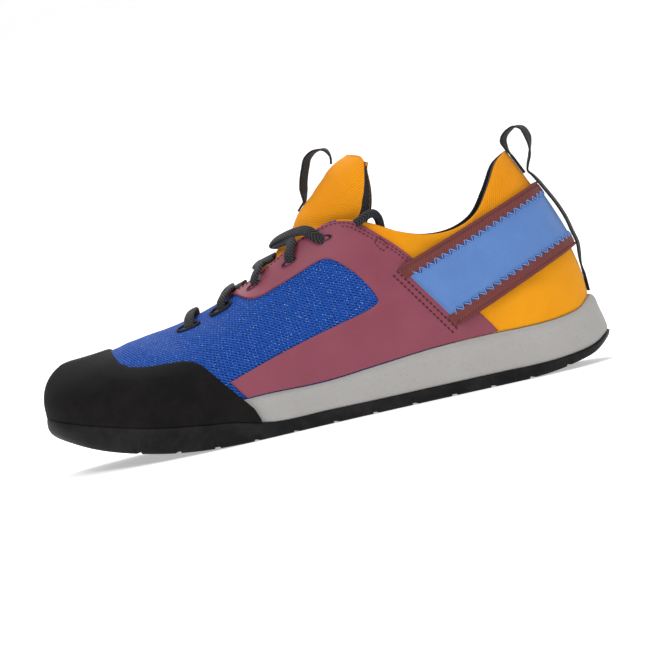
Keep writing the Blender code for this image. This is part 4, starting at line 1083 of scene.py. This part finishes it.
# Pieces of the shoe
def ringed(name, profile, stations, finish, slot, node):
    """A sole piece through closed rings, with the weave in object millimetres."""
    rings = across(profile, stations)
    faces = ring_quads(*rings.shape[:2])[:, ::-1]
    points = rings.reshape(-1, 3)
    piece = make(name, points, faces, points * 1e3, [finish])
    weld = piece.modifiers.new("weld", "WELD")
    weld.merge_threshold = 1e-6
    return worn_by(piece, slot, node)


def build_outsole(looks):
    """Rubber sole with its raised front rim, a moulded bead along its side and its tread."""
    middles = np.arange(x_of(0.845), x_of(0.055), GROOVE_PITCH)
    edges = np.concatenate([middles + GROOVE_WIDTH * share for share in (-0.53, -0.5, 0.5, 0.53)])
    edge_stations = np.arccos(1 - 2 * (0.5 - edges / LENGTH)) / np.pi
    stations = np.sort(np.concatenate([FINE, edge_stations]))

    def profile(around):
        along = along_of(np.abs(around))
        top = border(along)
        floor = np.minimum(ground(along) + TREAD, top)
        apart = np.abs(x_of(along)[:, None] - middles).min(axis=1)
        notch = GROOVE_DEPTH * (apart < GROOVE_WIDTH * 0.515)
        deep, low = ground(along) + notch, ground(along) + notch * NOTCH_SHARE
        bevel, edge = TREAD * 0.35, np.minimum(TREAD * 0.55, (top - low) * 0.8)
        rows = [(0.42 * HALF, deep), (bevel + 0.0100, deep), (bevel, low + 0.0001),
                (bevel * 0.45, low + edge * 0.42), (0.0004, low + edge * 0.85),
                (0.0001, low + edge * 1.1), (0.0001, (low + edge) * 0.5 + top * 0.5),
                (0.0004, top - 0.0007), (0.0009, top - 0.0001), (0.0016, top), (RIM, top),
                (RIM + 0.0006, floor), (0.30 * HALF, floor)]
        return stack(around, rows)
    return ringed("outsole_rubber", profile, stations, looks["rubber"], "rubber", "outsole")


def build_midsole(looks):
    """Foam wedge: a soft hollow along its side, a rounded top lip and a flared heel."""
    def profile(around):
        station = np.abs(around)
        along = along_of(station)
        foot = foot_inset(station)
        seen = eased((0.628 - along) / 0.02)
        hidden = foot + GAP / 2
        low, top = border(along) + GAP * 0.3, seat(along)
        floor = np.minimum(ground(along) + TREAD, border(along)) + 3 * GAP
        tall = top - low
        rows = [(0.30 * HALF, floor), (RIM + 0.0018, floor), (RIM + 0.0012, low + GAP)]
        for share, shown in ((0.00, 0.0013), (0.04, 0.0009), (0.12, 0.0007), (0.30, 0.0009),
                             (0.50, 0.0014), (0.68, 0.0018), (0.80, 0.0019), (0.88, 0.0021),
                             (0.94, 0.0026), (0.98, 0.0032)):
            lean = share * (foot - 0.0022) * 0.75
            rows.append((hidden * (1 - seen) + (shown + lean * 0.55) * seen, low + tall * share))
        rows += [(hidden * (1 - seen) + (foot - 0.0006) * seen, top + 0.0001),
                 (foot + WALL, top), (0.36 * HALF, top)]
        return stack(around, rows)
    return ringed("midsole_foam", profile, FINE, looks["foam"], "foam", "midsole")


def build_upper(looks):
    """Upper: mesh in front, knit behind, black lining, with soft creases and a rolled rim."""
    around = np.concatenate([-FINE, FINE[-2:0:-1]])
    count, rows = len(around), len(FINE_RUNGS)
    plain = skin(around[:, None], FINE_RUNGS[None, :])
    soft = creased(plain, CREASES) * np.clip((1 - FINE_RUNGS) / 0.08, 0, 1)
    outer = last(around[:, None], FINE_RUNGS[None, :], soft)
    inner = last(around[:, None], FINE_RUNGS[None, :], -WALL)
    size = count * rows
    i = np.arange(count)
    j = (i + 1) % count
    foot = np.stack([i * rows, j * rows, j * rows + size, i * rows + size], axis=-1)
    open_rim = np.abs(crest(around)[:, 1] - crest(-around)[:, 1]) > 1e-7
    shown = open_rim | open_rim[j]
    rim = (foot + rows - 1)[shown]
    body = quads(count, rows, 0, True)
    faces = np.concatenate([body, body[:, ::-1] + size, foot[:, ::-1], rim])
    heights, edges = np.array(KNIT_BORDER).T
    place = plain.reshape(-1, 3)[body].mean(axis=1)
    knit = place[:, 0] > np.interp(place[:, 2], heights, edges)
    heel = knit & (place[:, 2] < TWILL_TOP) & (place[:, 0] > TWILL_FRONT)
    chosen = np.concatenate([np.where(heel, 3, np.where(knit, 1, 0)), np.full(len(body), 2),
                             np.full(len(foot), 2), np.full(len(rim), 2)])
    woven = spans(plain)
    woven = np.concatenate([woven.reshape(-1, 3), woven.reshape(-1, 3)])
    points = np.concatenate([outer.reshape(-1, 3), inner.reshape(-1, 3)])
    piece = make("upper_cloth", points, faces, woven,
                 [looks["mesh"], looks["knit"], looks["lining"], looks["twill"]], chosen)
    return worn_by(piece, "knit", "upper")


def build_cap(looks):
    """Toe cap: rubber shell with a thin feathered top edge and a soft step over its rim."""
    shown = np.linspace(0.5805, 1.0, 90)
    around = np.concatenate([-shown, shown[-2::-1]])
    station = np.abs(around)
    along = along_of(station)
    foot, sole = seat(along) + GAP, border(along) + GAP * 0.3
    edge = cap_edge(outline(around, foot_inset(station))[0][:, 0])
    wall = np.clip((edge - sole) / (foot - sole), 0.02, 1.0)
    top = np.where(wall < 1.0, 0.0, rib_height_at(around, cap_edge))
    shares = np.linspace(0, 1, 40) ** 0.9
    heights = shares[None, :] * top[:, None]
    rest = (1 - shares[None, :]) * np.ones_like(top)[:, None]
    thick = CAP_EDGE * 0.55 + (CAP - CAP_EDGE * 0.55) * np.clip(rest / 0.30, 0, 1) ** 0.8
    thick = thick * np.clip(0.35 + rest / 0.015, 0, 1)
    low = last(around[:, None], heights, GAP * 0.3)
    high = last(around[:, None], heights, GAP * 0.3 + thick)
    short = wall < 1.0
    high[short] = high[short][:, :1]
    for layer in (low, high):
        layer[short, :, 2] = (sole + wall * (foot - sole))[short, None]
    under = low[:, :1].copy()
    under[:, 0, 2] = sole
    rim = outline(around, np.full(station.shape, 0.0006))[0]
    bottom = np.concatenate([rim, sole[:, None]], axis=-1)[:, None]
    start = high[:, :1]
    blend = np.linspace(0, 1, 7)[1:-1, None]
    rise = [bottom * (1 - t) + start * t + np.array([0, 0, 1.0]) * t * (1 - t) * 0.0012
            for t in blend]
    high = np.concatenate([bottom] + rise + [high], axis=1)
    low = np.concatenate([under] + [under * (1 - t) + low[:, :1] * t for t in blend] + [low],
                         axis=1)
    piece = plate("toe_cap_rubber", low[::-1], high[::-1], [looks["cap_rubber"]])
    return worn_by(piece, "cap_rubber", "toe_cap")


def overlay_edges(side, steps):
    """Stations and heights of the overlay's outer and inner edges, each smooth but for the
    corner at the foot of its rear edge."""
    table = np.array(OVERLAY_LINES, float)
    spans_of = ((0, OVERLAY_CORNER), (OVERLAY_CORNER, len(table) - 1))
    edges = []
    for start, end in spans_of:
        knots = np.arange(start, end + 1)
        reads = np.linspace(start, end, (end - start) * steps + 1)
        edges.append(smooth(reads, knots, table[start:end + 1], False)[0 if start == 0 else 1:])
    edges = np.concatenate(edges)
    return on_skin(edges[:, 0], edges[:, 1], side), on_skin(edges[:, 2], edges[:, 3], side)


def behind(x, z, side):
    """Station and height of the skin behind places of the side view."""
    return on_skin(0.5 - x / LENGTH, z / INSTEP_HEIGHT, side)


def laid(side, station, height, lift):
    """A path at a lift over the skin, and the skin's normals along it."""
    path = last(side * station, height, lift)
    return path, unit(last(side * station, height, lift + 0.001) - path)


def overlay_line(side, outer, inner, inside, lift):
    """Path and normals on the overlay, a distance inside its outer edge."""
    apart = np.linalg.norm(last(side * inner[0], inner[1]) - last(side * outer[0], outer[1]), axis=-1)
    share = np.clip(inside / np.maximum(apart, 1e-6), 0, 0.48)
    station = outer[0] + (inner[0] - outer[0]) * share
    height = np.clip(outer[1] + (inner[1] - outer[1]) * share, 0.006, 0.985)
    return laid(side, station, height, lift)


def build_overlay(looks, side, name, node):
    """Film overlay with rounded edges and its stitch rows."""
    outer, inner = overlay_edges(side, OVERLAY_STEPS)
    shares = np.concatenate([[0, 0.006, 0.02], np.linspace(0.05, 0.95, 17), [0.98, 0.994, 1.0]])
    station = inner[0][:, None] + (outer[0] - inner[0])[:, None] * shares
    height = np.clip(inner[1][:, None] + (outer[1] - inner[1])[:, None] * shares, 0.004, 0.988)
    round_off = np.clip(np.minimum(shares, 1 - shares) / 0.02, 0, 1) ** 0.5
    ends = np.clip(np.minimum(np.arange(len(station)), np.arange(len(station))[::-1]) / 1.5, 0, 1)
    thick = OVERLAY * (0.35 + 0.65 * round_off[None, :] * (0.3 + 0.7 * ends[:, None] ** 0.5))
    soft = creased(skin(side * station, height), CREASES) * 0.6
    low = last(side * station, height, GAP * 0.2 + soft)
    high = last(side * station, height, GAP * 0.5 + soft + thick)
    if side > 0:
        low, high = low[::-1], high[::-1]
    piece = plate(name, low, high, [looks["film"]])
    worn_by(piece, "film", node)
    lift = GAP * 0.5 + OVERLAY
    corner = OVERLAY_CORNER * OVERLAY_STEPS
    rows = [("edge", 0.0022, 6, corner - 8, EDGE_STITCH, "maroon_thread"),
            ("second", 0.0042, 44, corner - 8, EDGE_STITCH, "maroon_thread")]
    if side < 0:
        rows.append(("throat", 0.0004, 2, 40, THROAT_STITCH, "coral_thread"))
    for word, inside, start, end, stitch, thread in rows:
        path, normals = overlay_line(side, outer, inner, inside, lift)
        seam(f"{name}_{word}_seam", path[start:end], normals[start:end], stitch, looks[thread], "film")
    foot, up_n, _ = side_frame(*BAND[0][:2], side)
    top, _, _ = side_frame(*BAND[1][:2], side)
    ahead = unit(top - foot)
    forward = unit(np.cross(ahead, up_n))
    forward = forward * -np.sign(forward[0])
    for number, inside in enumerate(STRAP_SEAMS):
        ends = np.linspace(-0.02, 1.02, 24)[:, None]
        line = foot + (top - foot) * ends + forward * inside
        seam(f"{name}_strap_seam_{number + 1}", *laid(side, *behind(line[:, 0], line[:, 2], side), lift),
             STRAP_STITCH, looks["maroon_thread"], "film")
    down, beside = np.array((0.0016, -0.0027)), np.array((0.0017, 0.0010))
    corners = np.array((0.0402, 0.0814)) + np.array((down + beside, down - beside, -down - beside,
                                                    beside - down, down + beside))
    x, z = (np.interp(np.linspace(0, 4, 61), np.arange(5), corners[:, k]) for k in (0, 1))
    seam(f"{name}_box_seam", *laid(side, *behind(x, z, side), lift), BOX_STITCH,
         looks["maroon_thread"], "film")
    return piece


def build_rings(looks):
    """Oval beads round the ringed holes, rims round the slots, and painted shade in them: near-black
    sheets over the holes.
    """
    for side, word in ((-1, "outer"), (1, "inner")):
        for number, (along, up, has_ring) in enumerate(EYELETS):
            centre, normal, ahead = side_frame(along, up, side)
            across_ring = np.cross(normal, ahead)
            long, wide = ((RING_LENGTH, RING_WIDTH) if has_ring
                          else (SLOT_LENGTH + SLOT_ROOM, SLOT_WIDTH + SLOT_ROOM))
            bead = RING_BEAD if has_ring else SLOT_BEAD
            base = GAP + (0.0 if has_ring else OVERLAY)
            turn = circle(BEAD_PLACES)
            flat = (centre + ahead * (np.cos(turn) * (long - bead) / 2)[:, None]
                    + across_ring * (np.sin(turn) * (wide - bead) / 2)[:, None])
            outward = unit(flat - centre)
            path, _ = laid(side, *behind(flat[:, 0], flat[:, 2], side), base + bead * 0.30)
            turn = circle(BEAD_SIDES)
            ring = (path[:, None] + outward[:, None] * (np.cos(turn) * bead / 2)[None, :, None]
                    + normal * (np.sin(turn) * bead * 0.5)[None, :, None])
            points = ring.reshape(-1, 3)
            kind = "eyelet_ring" if has_ring else "slot_rim"
            piece = make(f"{kind}_{word}_{number + 1}_bead", points,
                         ring_quads(BEAD_PLACES, BEAD_SIDES, True), points * 1e3,
                         [looks["webbing" if has_ring else "slot_rim"]])
            if has_ring:
                worn_by(piece, "webbing", f"eyelet_ring_{word}_{number + 1}")
            else:
                worn_by(piece, "film")
            # painted shade: a near-black sheet over each hole
            rings = [centre + (path - centre) * share + normal * (0.0003 if share < 0.9 else 0)
                     for share in ((0.05, 0.3, 0.55) if has_ring else (0.05, 0.5, 0.95))]
            floor = np.stack(rings, axis=1)
            dark = make(f"{kind}_{word}_{number + 1}_hole", floor.reshape(-1, 3),
                        quads(BEAD_PLACES, len(rings), 0, True), floor.reshape(-1, 3) * 1e3,
                        [looks["painted_hole_shade"]])
            worn_by(dark, "webbing")


def band_surface(shares, thick_at, low_at):
    """Grids of the heel band or a binding between the slits, fine enough to show its ridges."""
    per_station = LENGTH * math.pi / 2 * math.sin(math.pi * 0.3)
    low_rows, high_rows = [], []
    for share, thick, base in zip(shares, thick_at, low_at):
        slit, heel = band_edges(share)

        def line(x):
            slope = (heel[1] - slit[1]) * INSTEP_HEIGHT / (x_of(heel[0]) - x_of(slit[0]))
            return INSTEP_HEIGHT * slit[1] + slope * (x - x_of(slit[0]))

        ends = [on_skin([slit[0]], [slit[1]], side)[0][0] for side in (-1, 1)]
        reads = np.concatenate([[-0.6, 0.1, 0.5, 0.8, 1.0, 1.3], np.linspace(1.8, 8, 12)])
        starts = reads * SLIT_WIDTH / per_station
        halves = [np.concatenate([end - starts, np.linspace(end - starts[-1], 0.0, 60)[1:]])
                  for end in ends]
        around = np.concatenate([-halves[0][:-1], halves[1][::-1]])
        height = rib_height_at(around, line)
        apart = np.minimum(ends[0] + around, ends[1] - around) * per_station
        rise = eased((apart + 0.0006) / (SLIT_WIDTH * 0.8))
        fall = eased((apart - 0.020) / 0.030)
        stand = (GAP * 1.4 + (OVERLAY + GAP * 1.8) * rise - OVERLAY * fall
                 - (1 - rise) * 0.0016)
        low_rows.append(last(around, height, stand + base))
        high_rows.append(last(around, height, stand + thick))
    return np.stack(low_rows, axis=1), np.stack(high_rows, axis=1)


def build_band(looks):
    """Elastic band, its two folded bindings with a groove and a piped outer edge, and the
    zigzag rows that join them, each with a painted shadow in navy thread."""
    edge = BINDING_SHARE
    shares = np.linspace(edge - 0.01, 1 - edge + 0.01, 25)
    low, high = band_surface(shares, np.full(25, STRAP), np.zeros(25))
    worn_by(plate("heel_strap_elastic", low, high, [looks["elastic"]]), "elastic", "heel_strap")
    across_tape = np.linspace(0, 1, 21)
    ridge = (np.clip(np.minimum(across_tape, 1 - across_tape) / 0.06, 0, 1) ** 0.5
             - 0.30 * np.exp(-((across_tape - 0.26) / 0.05) ** 2)
             + 0.18 * np.exp(-((across_tape - 0.14) / 0.09) ** 2))
    thick = BINDING * (0.25 + 0.75 * ridge)
    for name, start, end in (("lower", 0.0, edge), ("upper", 1.0, 1 - edge)):
        low, high = band_surface(start + (end - start) * across_tape, thick, np.zeros(21))
        if name == "upper":
            low, high = low[:, ::-1], high[:, ::-1]
        worn_by(plate(f"strap_binding_{name}_tape", low, high, [looks["binding"]]), "binding",
                f"strap_binding_{name}")
    for name, joint, way in (("lower", edge, 1), ("upper", 1 - edge, -1)):
        reach = 0.040
        near, far = (band_surface([joint + way * reach, joint - way * reach],
                                  [STRAP + 0.0001, BINDING * 0.98], [0.0, 0.0])[1][:, k]
                     for k in (0, 1))
        length = reach_of(near)
        at = np.arange(0.006, length[-1] - 0.006, ZIGZAG_STEP)
        lines = [picked(at, length, part) for part in (near, far)]
        even = (np.arange(len(at)) % 2)[:, None]
        points = lines[0] * even + lines[1] * (1 - even)
        normals = unit(np.cross(np.gradient(lines[0], axis=0), lines[1] - lines[0])) * way
        flip = np.sign((normals * (lines[0] - np.array([0.07, 0.0, 0.07]))).sum(axis=1))
        normals = normals * flip[:, None]
        threads(f"strap_zigzag_{name}", points[:-1], points[1:], normals[:-1], 0.0006,
                looks["pale_thread"], "elastic", 0.0001)
        # painted shadow: a thinner navy copy of the zigzag, moved 0.6 mm along it and sunk below it
        moved = np.roll(points, 1, axis=0)[1:]
        shift = unit(np.gradient(points, axis=0))[1:] * 0.0006
        threads(f"strap_zigzag_{name}_dark", moved + shift, points[1:] + shift, normals[1:],
                0.0005, looks["painted_zigzag_shadow"], "elastic", -0.0001)


def tape(name, path, turned, looks, nodes, width=WEBBING_WIDTH):
    """Webbing along a path in the shoe's middle plane, thinner along its two edges, and turned
    about the upright by the given angles (degrees)."""
    ahead = unit(np.gradient(path, axis=0))
    turned = np.radians(turned)
    flat = np.stack([np.sin(turned), np.cos(turned), 0 * turned], axis=-1)
    flat = unit(flat - ahead * (flat * ahead).sum(axis=-1, keepdims=True))[:, None]
    out = np.cross(ahead, flat[:, 0])
    shares = np.concatenate([[-1, -0.97, -0.9], np.linspace(-0.8, 0.8, 9), [0.9, 0.97, 1]])
    thin = np.clip((1 - np.abs(shares)) / 0.12, 0.25, 1) ** 0.5
    high = (path[:, None] + flat * (shares * width / 2)[None, :, None]
            + out[:, None] * (thin * WEBBING / 2)[None, :, None])
    low = (path[:, None] + flat * (shares * width / 2)[None, :, None]
           - out[:, None] * (thin * WEBBING / 2)[None, :, None])
    piece = plate(name, low, high, [looks["webbing"]])
    return worn_by(piece, "webbing", *nodes)


def build_heel_tape(looks):
    """Tape up the heel's tab, round the pull loop and down over the band to the midsole."""
    half = WEBBING / 2 + GAP
    climb = last(0.0, np.array([0.80, 0.88, 0.95, 1.0]), half)
    top = climb[-1]
    loop = [top + np.array([row[0], 0.0, row[1]]) * TAPE_LOOP for row in TAPE_LOOP_LINE]
    down = last(0.0, column(TAPE_BACK, TAPE_BACK_COLUMNS, "height"),
                column(TAPE_BACK, TAPE_BACK_COLUMNS, "stand_off") * 1e-3)
    points = np.concatenate([climb, loop, down])
    points[:, 1] = 0.0
    path = through(points, TAPE_PLACES)
    free = np.clip((path[:, 2] - top[2] + 0.004) / 0.008, 0, 1)
    bridging = (np.clip((np.arange(TAPE_PLACES) - 60) / 15, 0, 1)
                * np.clip((path[:, 2] - 0.045) / 0.010, 0, 1))
    tape("heel_tape_webbing", path, 24 * free + 12 * (1 - free) * bridging, looks, ("heel_tape",))


def build_tongue(looks):
    """Padded tongue: knit outside, black lining and a black binding along its free edge."""
    face = tongue_face(TONGUE_ROWS, TONGUE_COLUMNS)
    ahead, side = np.gradient(face, axis=0), np.gradient(face, axis=1)
    inward = unit(np.cross(ahead, side))
    if inward[:, TONGUE_COLUMNS // 2, 2].mean() > 0:
        inward = -inward
    rise = np.linspace(0, 1, TONGUE_ROWS)[:, None]
    width = np.abs(np.linspace(-1, 1, TONGUE_COLUMNS))[None, :]
    full = np.clip((1 - width) / 0.35, 0, 1) * np.clip((1 - rise) / 0.10, 0, 1)
    full = full * np.clip(rise / 0.45, 0.0, 1)
    thick = TONGUE_EDGE + (TONGUE_PAD - TONGUE_EDGE) * np.sqrt(full)
    fold = creased(face, TONGUE_CREASES) * np.clip(rise / 0.4, 0, 1)
    back = face + inward * thick[..., None]
    front = face - inward * fold[..., None]
    piece = plate("tongue_knit", back, front, [looks["knit"], looks["lining"]], 1)
    worn_by(piece, "knit", "tongue")
    cos, sin = np.cos(circle(16))[None, :, None], np.sin(circle(16))[None, :, None]
    strips = []
    for edge, beside in ((0, 3), (-1, -4)):
        rim = face[BOUND_FROM:, edge]
        toward = unit(face[BOUND_FROM:, beside] - rim)[:, None]
        deep = inward[BOUND_FROM:, edge][:, None]
        half = 0.0029 * np.clip((1 - rise[BOUND_FROM:]) / 0.14, 0.02, 1)[:, None] ** 0.6
        ring = (rim[:, None] + deep * (TONGUE_EDGE / 2 + sin * (TONGUE_EDGE / 2 + 0.0005))
                + toward * half * (0.75 + cos))
        reach = np.arange(len(rim))[:, None] * 0.9 + 0 * cos[..., 0]
        strips.append((ring, np.stack([reach, 3.0 * cos[..., 0] + 0 * reach, 0 * reach], axis=-1)))
    tubes("tongue_binding", strips, looks["webbing"], "webbing")


def build_tongue_loop(looks):
    """Webbing sewn up the tongue's front, round its pull loop and back onto the tongue."""
    centre = tongue_face(15, 9)[:, 4]
    reach = reach_of(centre)
    lift = GAP + WEBBING / 2
    top = reach[-1] - 0.008
    foot = top - TONGUE_LOOP
    sewn = smooth(np.array([foot - 0.006, foot - 0.003, foot]), reach, centre, False)
    start, end = smooth(np.array([foot, top]), reach, centre, False)
    ahead = unit(end - start)
    out = unit(np.cross(np.array([0.0, 1.0, 0.0]), ahead))
    if out[2] < 0:
        out = -out
    loop = [start + TONGUE_LOOP * (ahead * a + out * b) + out * lift for a, b in TONGUE_LOOP_LINE]
    points = np.concatenate([sewn + out * lift, loop])
    points[:, 1] = centre[0, 1]
    path = through(points, LOOP_PLACES)
    places = np.arange(LOOP_PLACES)
    free = np.clip(np.minimum(places, places[::-1]) / 20 - 0.4, 0, 1)
    tape("tongue_loop_webbing", path, 26 * free, looks, ("tongue_loop",))


def strand_path(side, first, final, reach, lead, bow):
    """Path of one lace: up out of its eyelet, over the tongue and to the other side."""
    start, end = (on_skin([EYELETS[number][0]], [EYELETS[number][1]], side * way)[0][0]
                  for number, way in ((first, 1), (final, -1)))
    path, raised = [], []
    for share in np.linspace(0.0, 1.0, 13):
        over = share * (1 + reach) - 1
        station = start + (end - start) * ((over + 1) / 2) ** lead
        sink = 0.0 if reach == 1.0 else 0.0014 * max(0.0, share - 0.75) / 0.25
        dive = 0.0036 * max(0.0, 1 - share / 0.10)
        if reach == 1.0:
            dive += 0.0036 * max(0.0, 1 - (1 - share) / 0.10)
        lift = bow * 1e-3 * math.sin(math.pi * share) - sink - dive
        path.append(bridge(station, -side * over, lift))
        raised.append(bridge(station, -side * over, lift + 0.001))
    path, raised = np.array(path), np.array(raised)
    return through(path, 70), unit(through(unit(raised - path), 70))


def build_laces(looks):
    """Flat braid: the bar over the front eyelets and the three crossings."""
    parts = {}
    for name, *row in LACES:
        path, ups = strand_path(*row)
        parts.setdefault(name, []).append(tube(path, ups, LACE_WIDTH, LACE_THICK * 0.8))
    for name, found in parts.items():
        tubes(name + "_braid", found, looks["lace"], "lace", (name,))


def build_lace_end(looks):
    """Free end of the lace with its tip: over the collar beside the tongue and down inside."""
    table = np.array(LACE_END, float)
    points = np.stack([x_of(table[:, 0]), HALF * table[:, 2], INSTEP_HEIGHT * table[:, 1]], axis=1)
    path = through(points, LACE_END_PLACES)
    ring, cloth = tube(path, np.tile([0.0, -1.0, 0.0], (LACE_END_PLACES, 1)), LACE_WIDTH * 0.78,
                       LACE_WIDTH * 0.66, 14, 2.2)
    cord = tubes("lace_end_braid", [(ring, cloth)], looks["lace"], "lace", ("lace_end",))
    tip = path[-1] + unit(path[-1] - path[-2]) * np.linspace(-0.001, 0.011, TIP_PLACES)[:, None]
    ring, cloth = tube(tip, np.tile([0.0, -1.0, 0.0], (TIP_PLACES, 1)), 0.0030, 0.0030, 12, 2.0)
    aglet = tubes("lace_tip", [(ring, cloth)], looks["aglet"], "lace")
    tuple(float(c) for c in path[0])
    [tuple(map(float, p)) for p in path]


def stand(name, data, axes, place):
    """A light or camera at a place, turned by its three axes."""
    holder = bpy.data.objects.new(name, data)
    bpy.context.scene.collection.objects.link(holder)
    rows = [(*row, at) for row, at in zip(np.stack(axes, axis=1), place)]
    holder.matrix_world = Matrix(rows + [(0, 0, 0, 1)])
    return holder


def set_stage():
    """Pale floor that curves up behind the shoe, soft lights and the world."""
    made, _, shader, _, _ = start_finish("backdrop", shade(0.86, 0.86, 0.86), 0.9)
    shader.inputs["Emission Color"].default_value = shade(1.0, 1.0, 1.0)
    shader.inputs["Emission Strength"].default_value = ROOM_LIGHT
    x = np.linspace(-6, 6, 3)
    turn = np.linspace(0, math.pi / 2, 16)
    profile = np.concatenate([[[-4.0, 0.0]], np.stack([2.5 + 1.2 * np.sin(turn),
                                                      1.2 - 1.2 * np.cos(turn)], axis=-1),
                              [[3.7, 6.0]]])
    grid = np.stack([np.broadcast_to(x[:, None], (3, len(profile))),
                     np.broadcast_to(profile[None, :, 0], (3, len(profile))),
                     np.broadcast_to(profile[None, :, 1], (3, len(profile)))], axis=-1)
    floor = make("backdrop", grid.reshape(-1, 3), quads(3, len(profile)), grid.reshape(-1, 3),
                 [made])
    for name, place, size, power in LAMPS:
        lamp = bpy.data.lights.new(name, "AREA")
        lamp.size, lamp.energy = size, power
        away = unit(np.array(place) - np.array([0.0, 0.0, 0.05]))
        side = unit(np.cross([0.0, 0.0, 1.0], away))
        stand(name, lamp, (side, np.cross(away, side), away), place)
    world = bpy.data.worlds.new("studio")
    world.use_nodes = True
    world.node_tree.nodes["Background"].inputs["Color"].default_value = shade(1.0, 1.0, 1.0)
    world.node_tree.nodes["Background"].inputs["Strength"].default_value = ROOM_LIGHT
    bpy.context.scene.world = world
    bpy.context.scene.view_settings.view_transform = "Standard"


def set_camera():
    """Camera beside the outer side, a little above the shoe's middle, rolled as the photo is."""
    target = np.array([0.0041, 0.0, 0.0471])
    away, rise, roll, shown = 1.6, math.radians(2.0), math.radians(12.4), 0.3301
    forward = np.array([0.0, math.cos(rise), -math.sin(rise)])
    right, up = np.array([1.0, 0.0, 0.0]), np.array([0.0, math.sin(rise), math.cos(rise)])
    right, up = (right * math.cos(roll) - up * math.sin(roll),
                 up * math.cos(roll) + right * math.sin(roll))
    place = target - forward * away
    lens = bpy.data.cameras.new("camera")
    lens.sensor_width = SENSOR
    lens.lens = SENSOR * away / shown
    lens.clip_start = 0.05
    bpy.context.scene.camera = stand("camera", lens, (right, up, -forward), place)


set_stage()
set_camera()
looks = finishes()
build_lace_end(looks)
build_outsole(looks)
build_midsole(looks)
build_upper(looks)
build_cap(looks)
build_overlay(looks, -1, "overlay_outer_film", "overlay_outer")
build_overlay(looks, 1, "overlay_inner_film", "overlay_inner")
build_rings(looks)
build_band(looks)
build_heel_tape(looks)
build_tongue(looks)
build_tongue_loop(looks)
build_laces(looks)
insole = bpy.data.objects["insole"]
for slot in insole.material_slots:
    slot.material = looks["lining"]
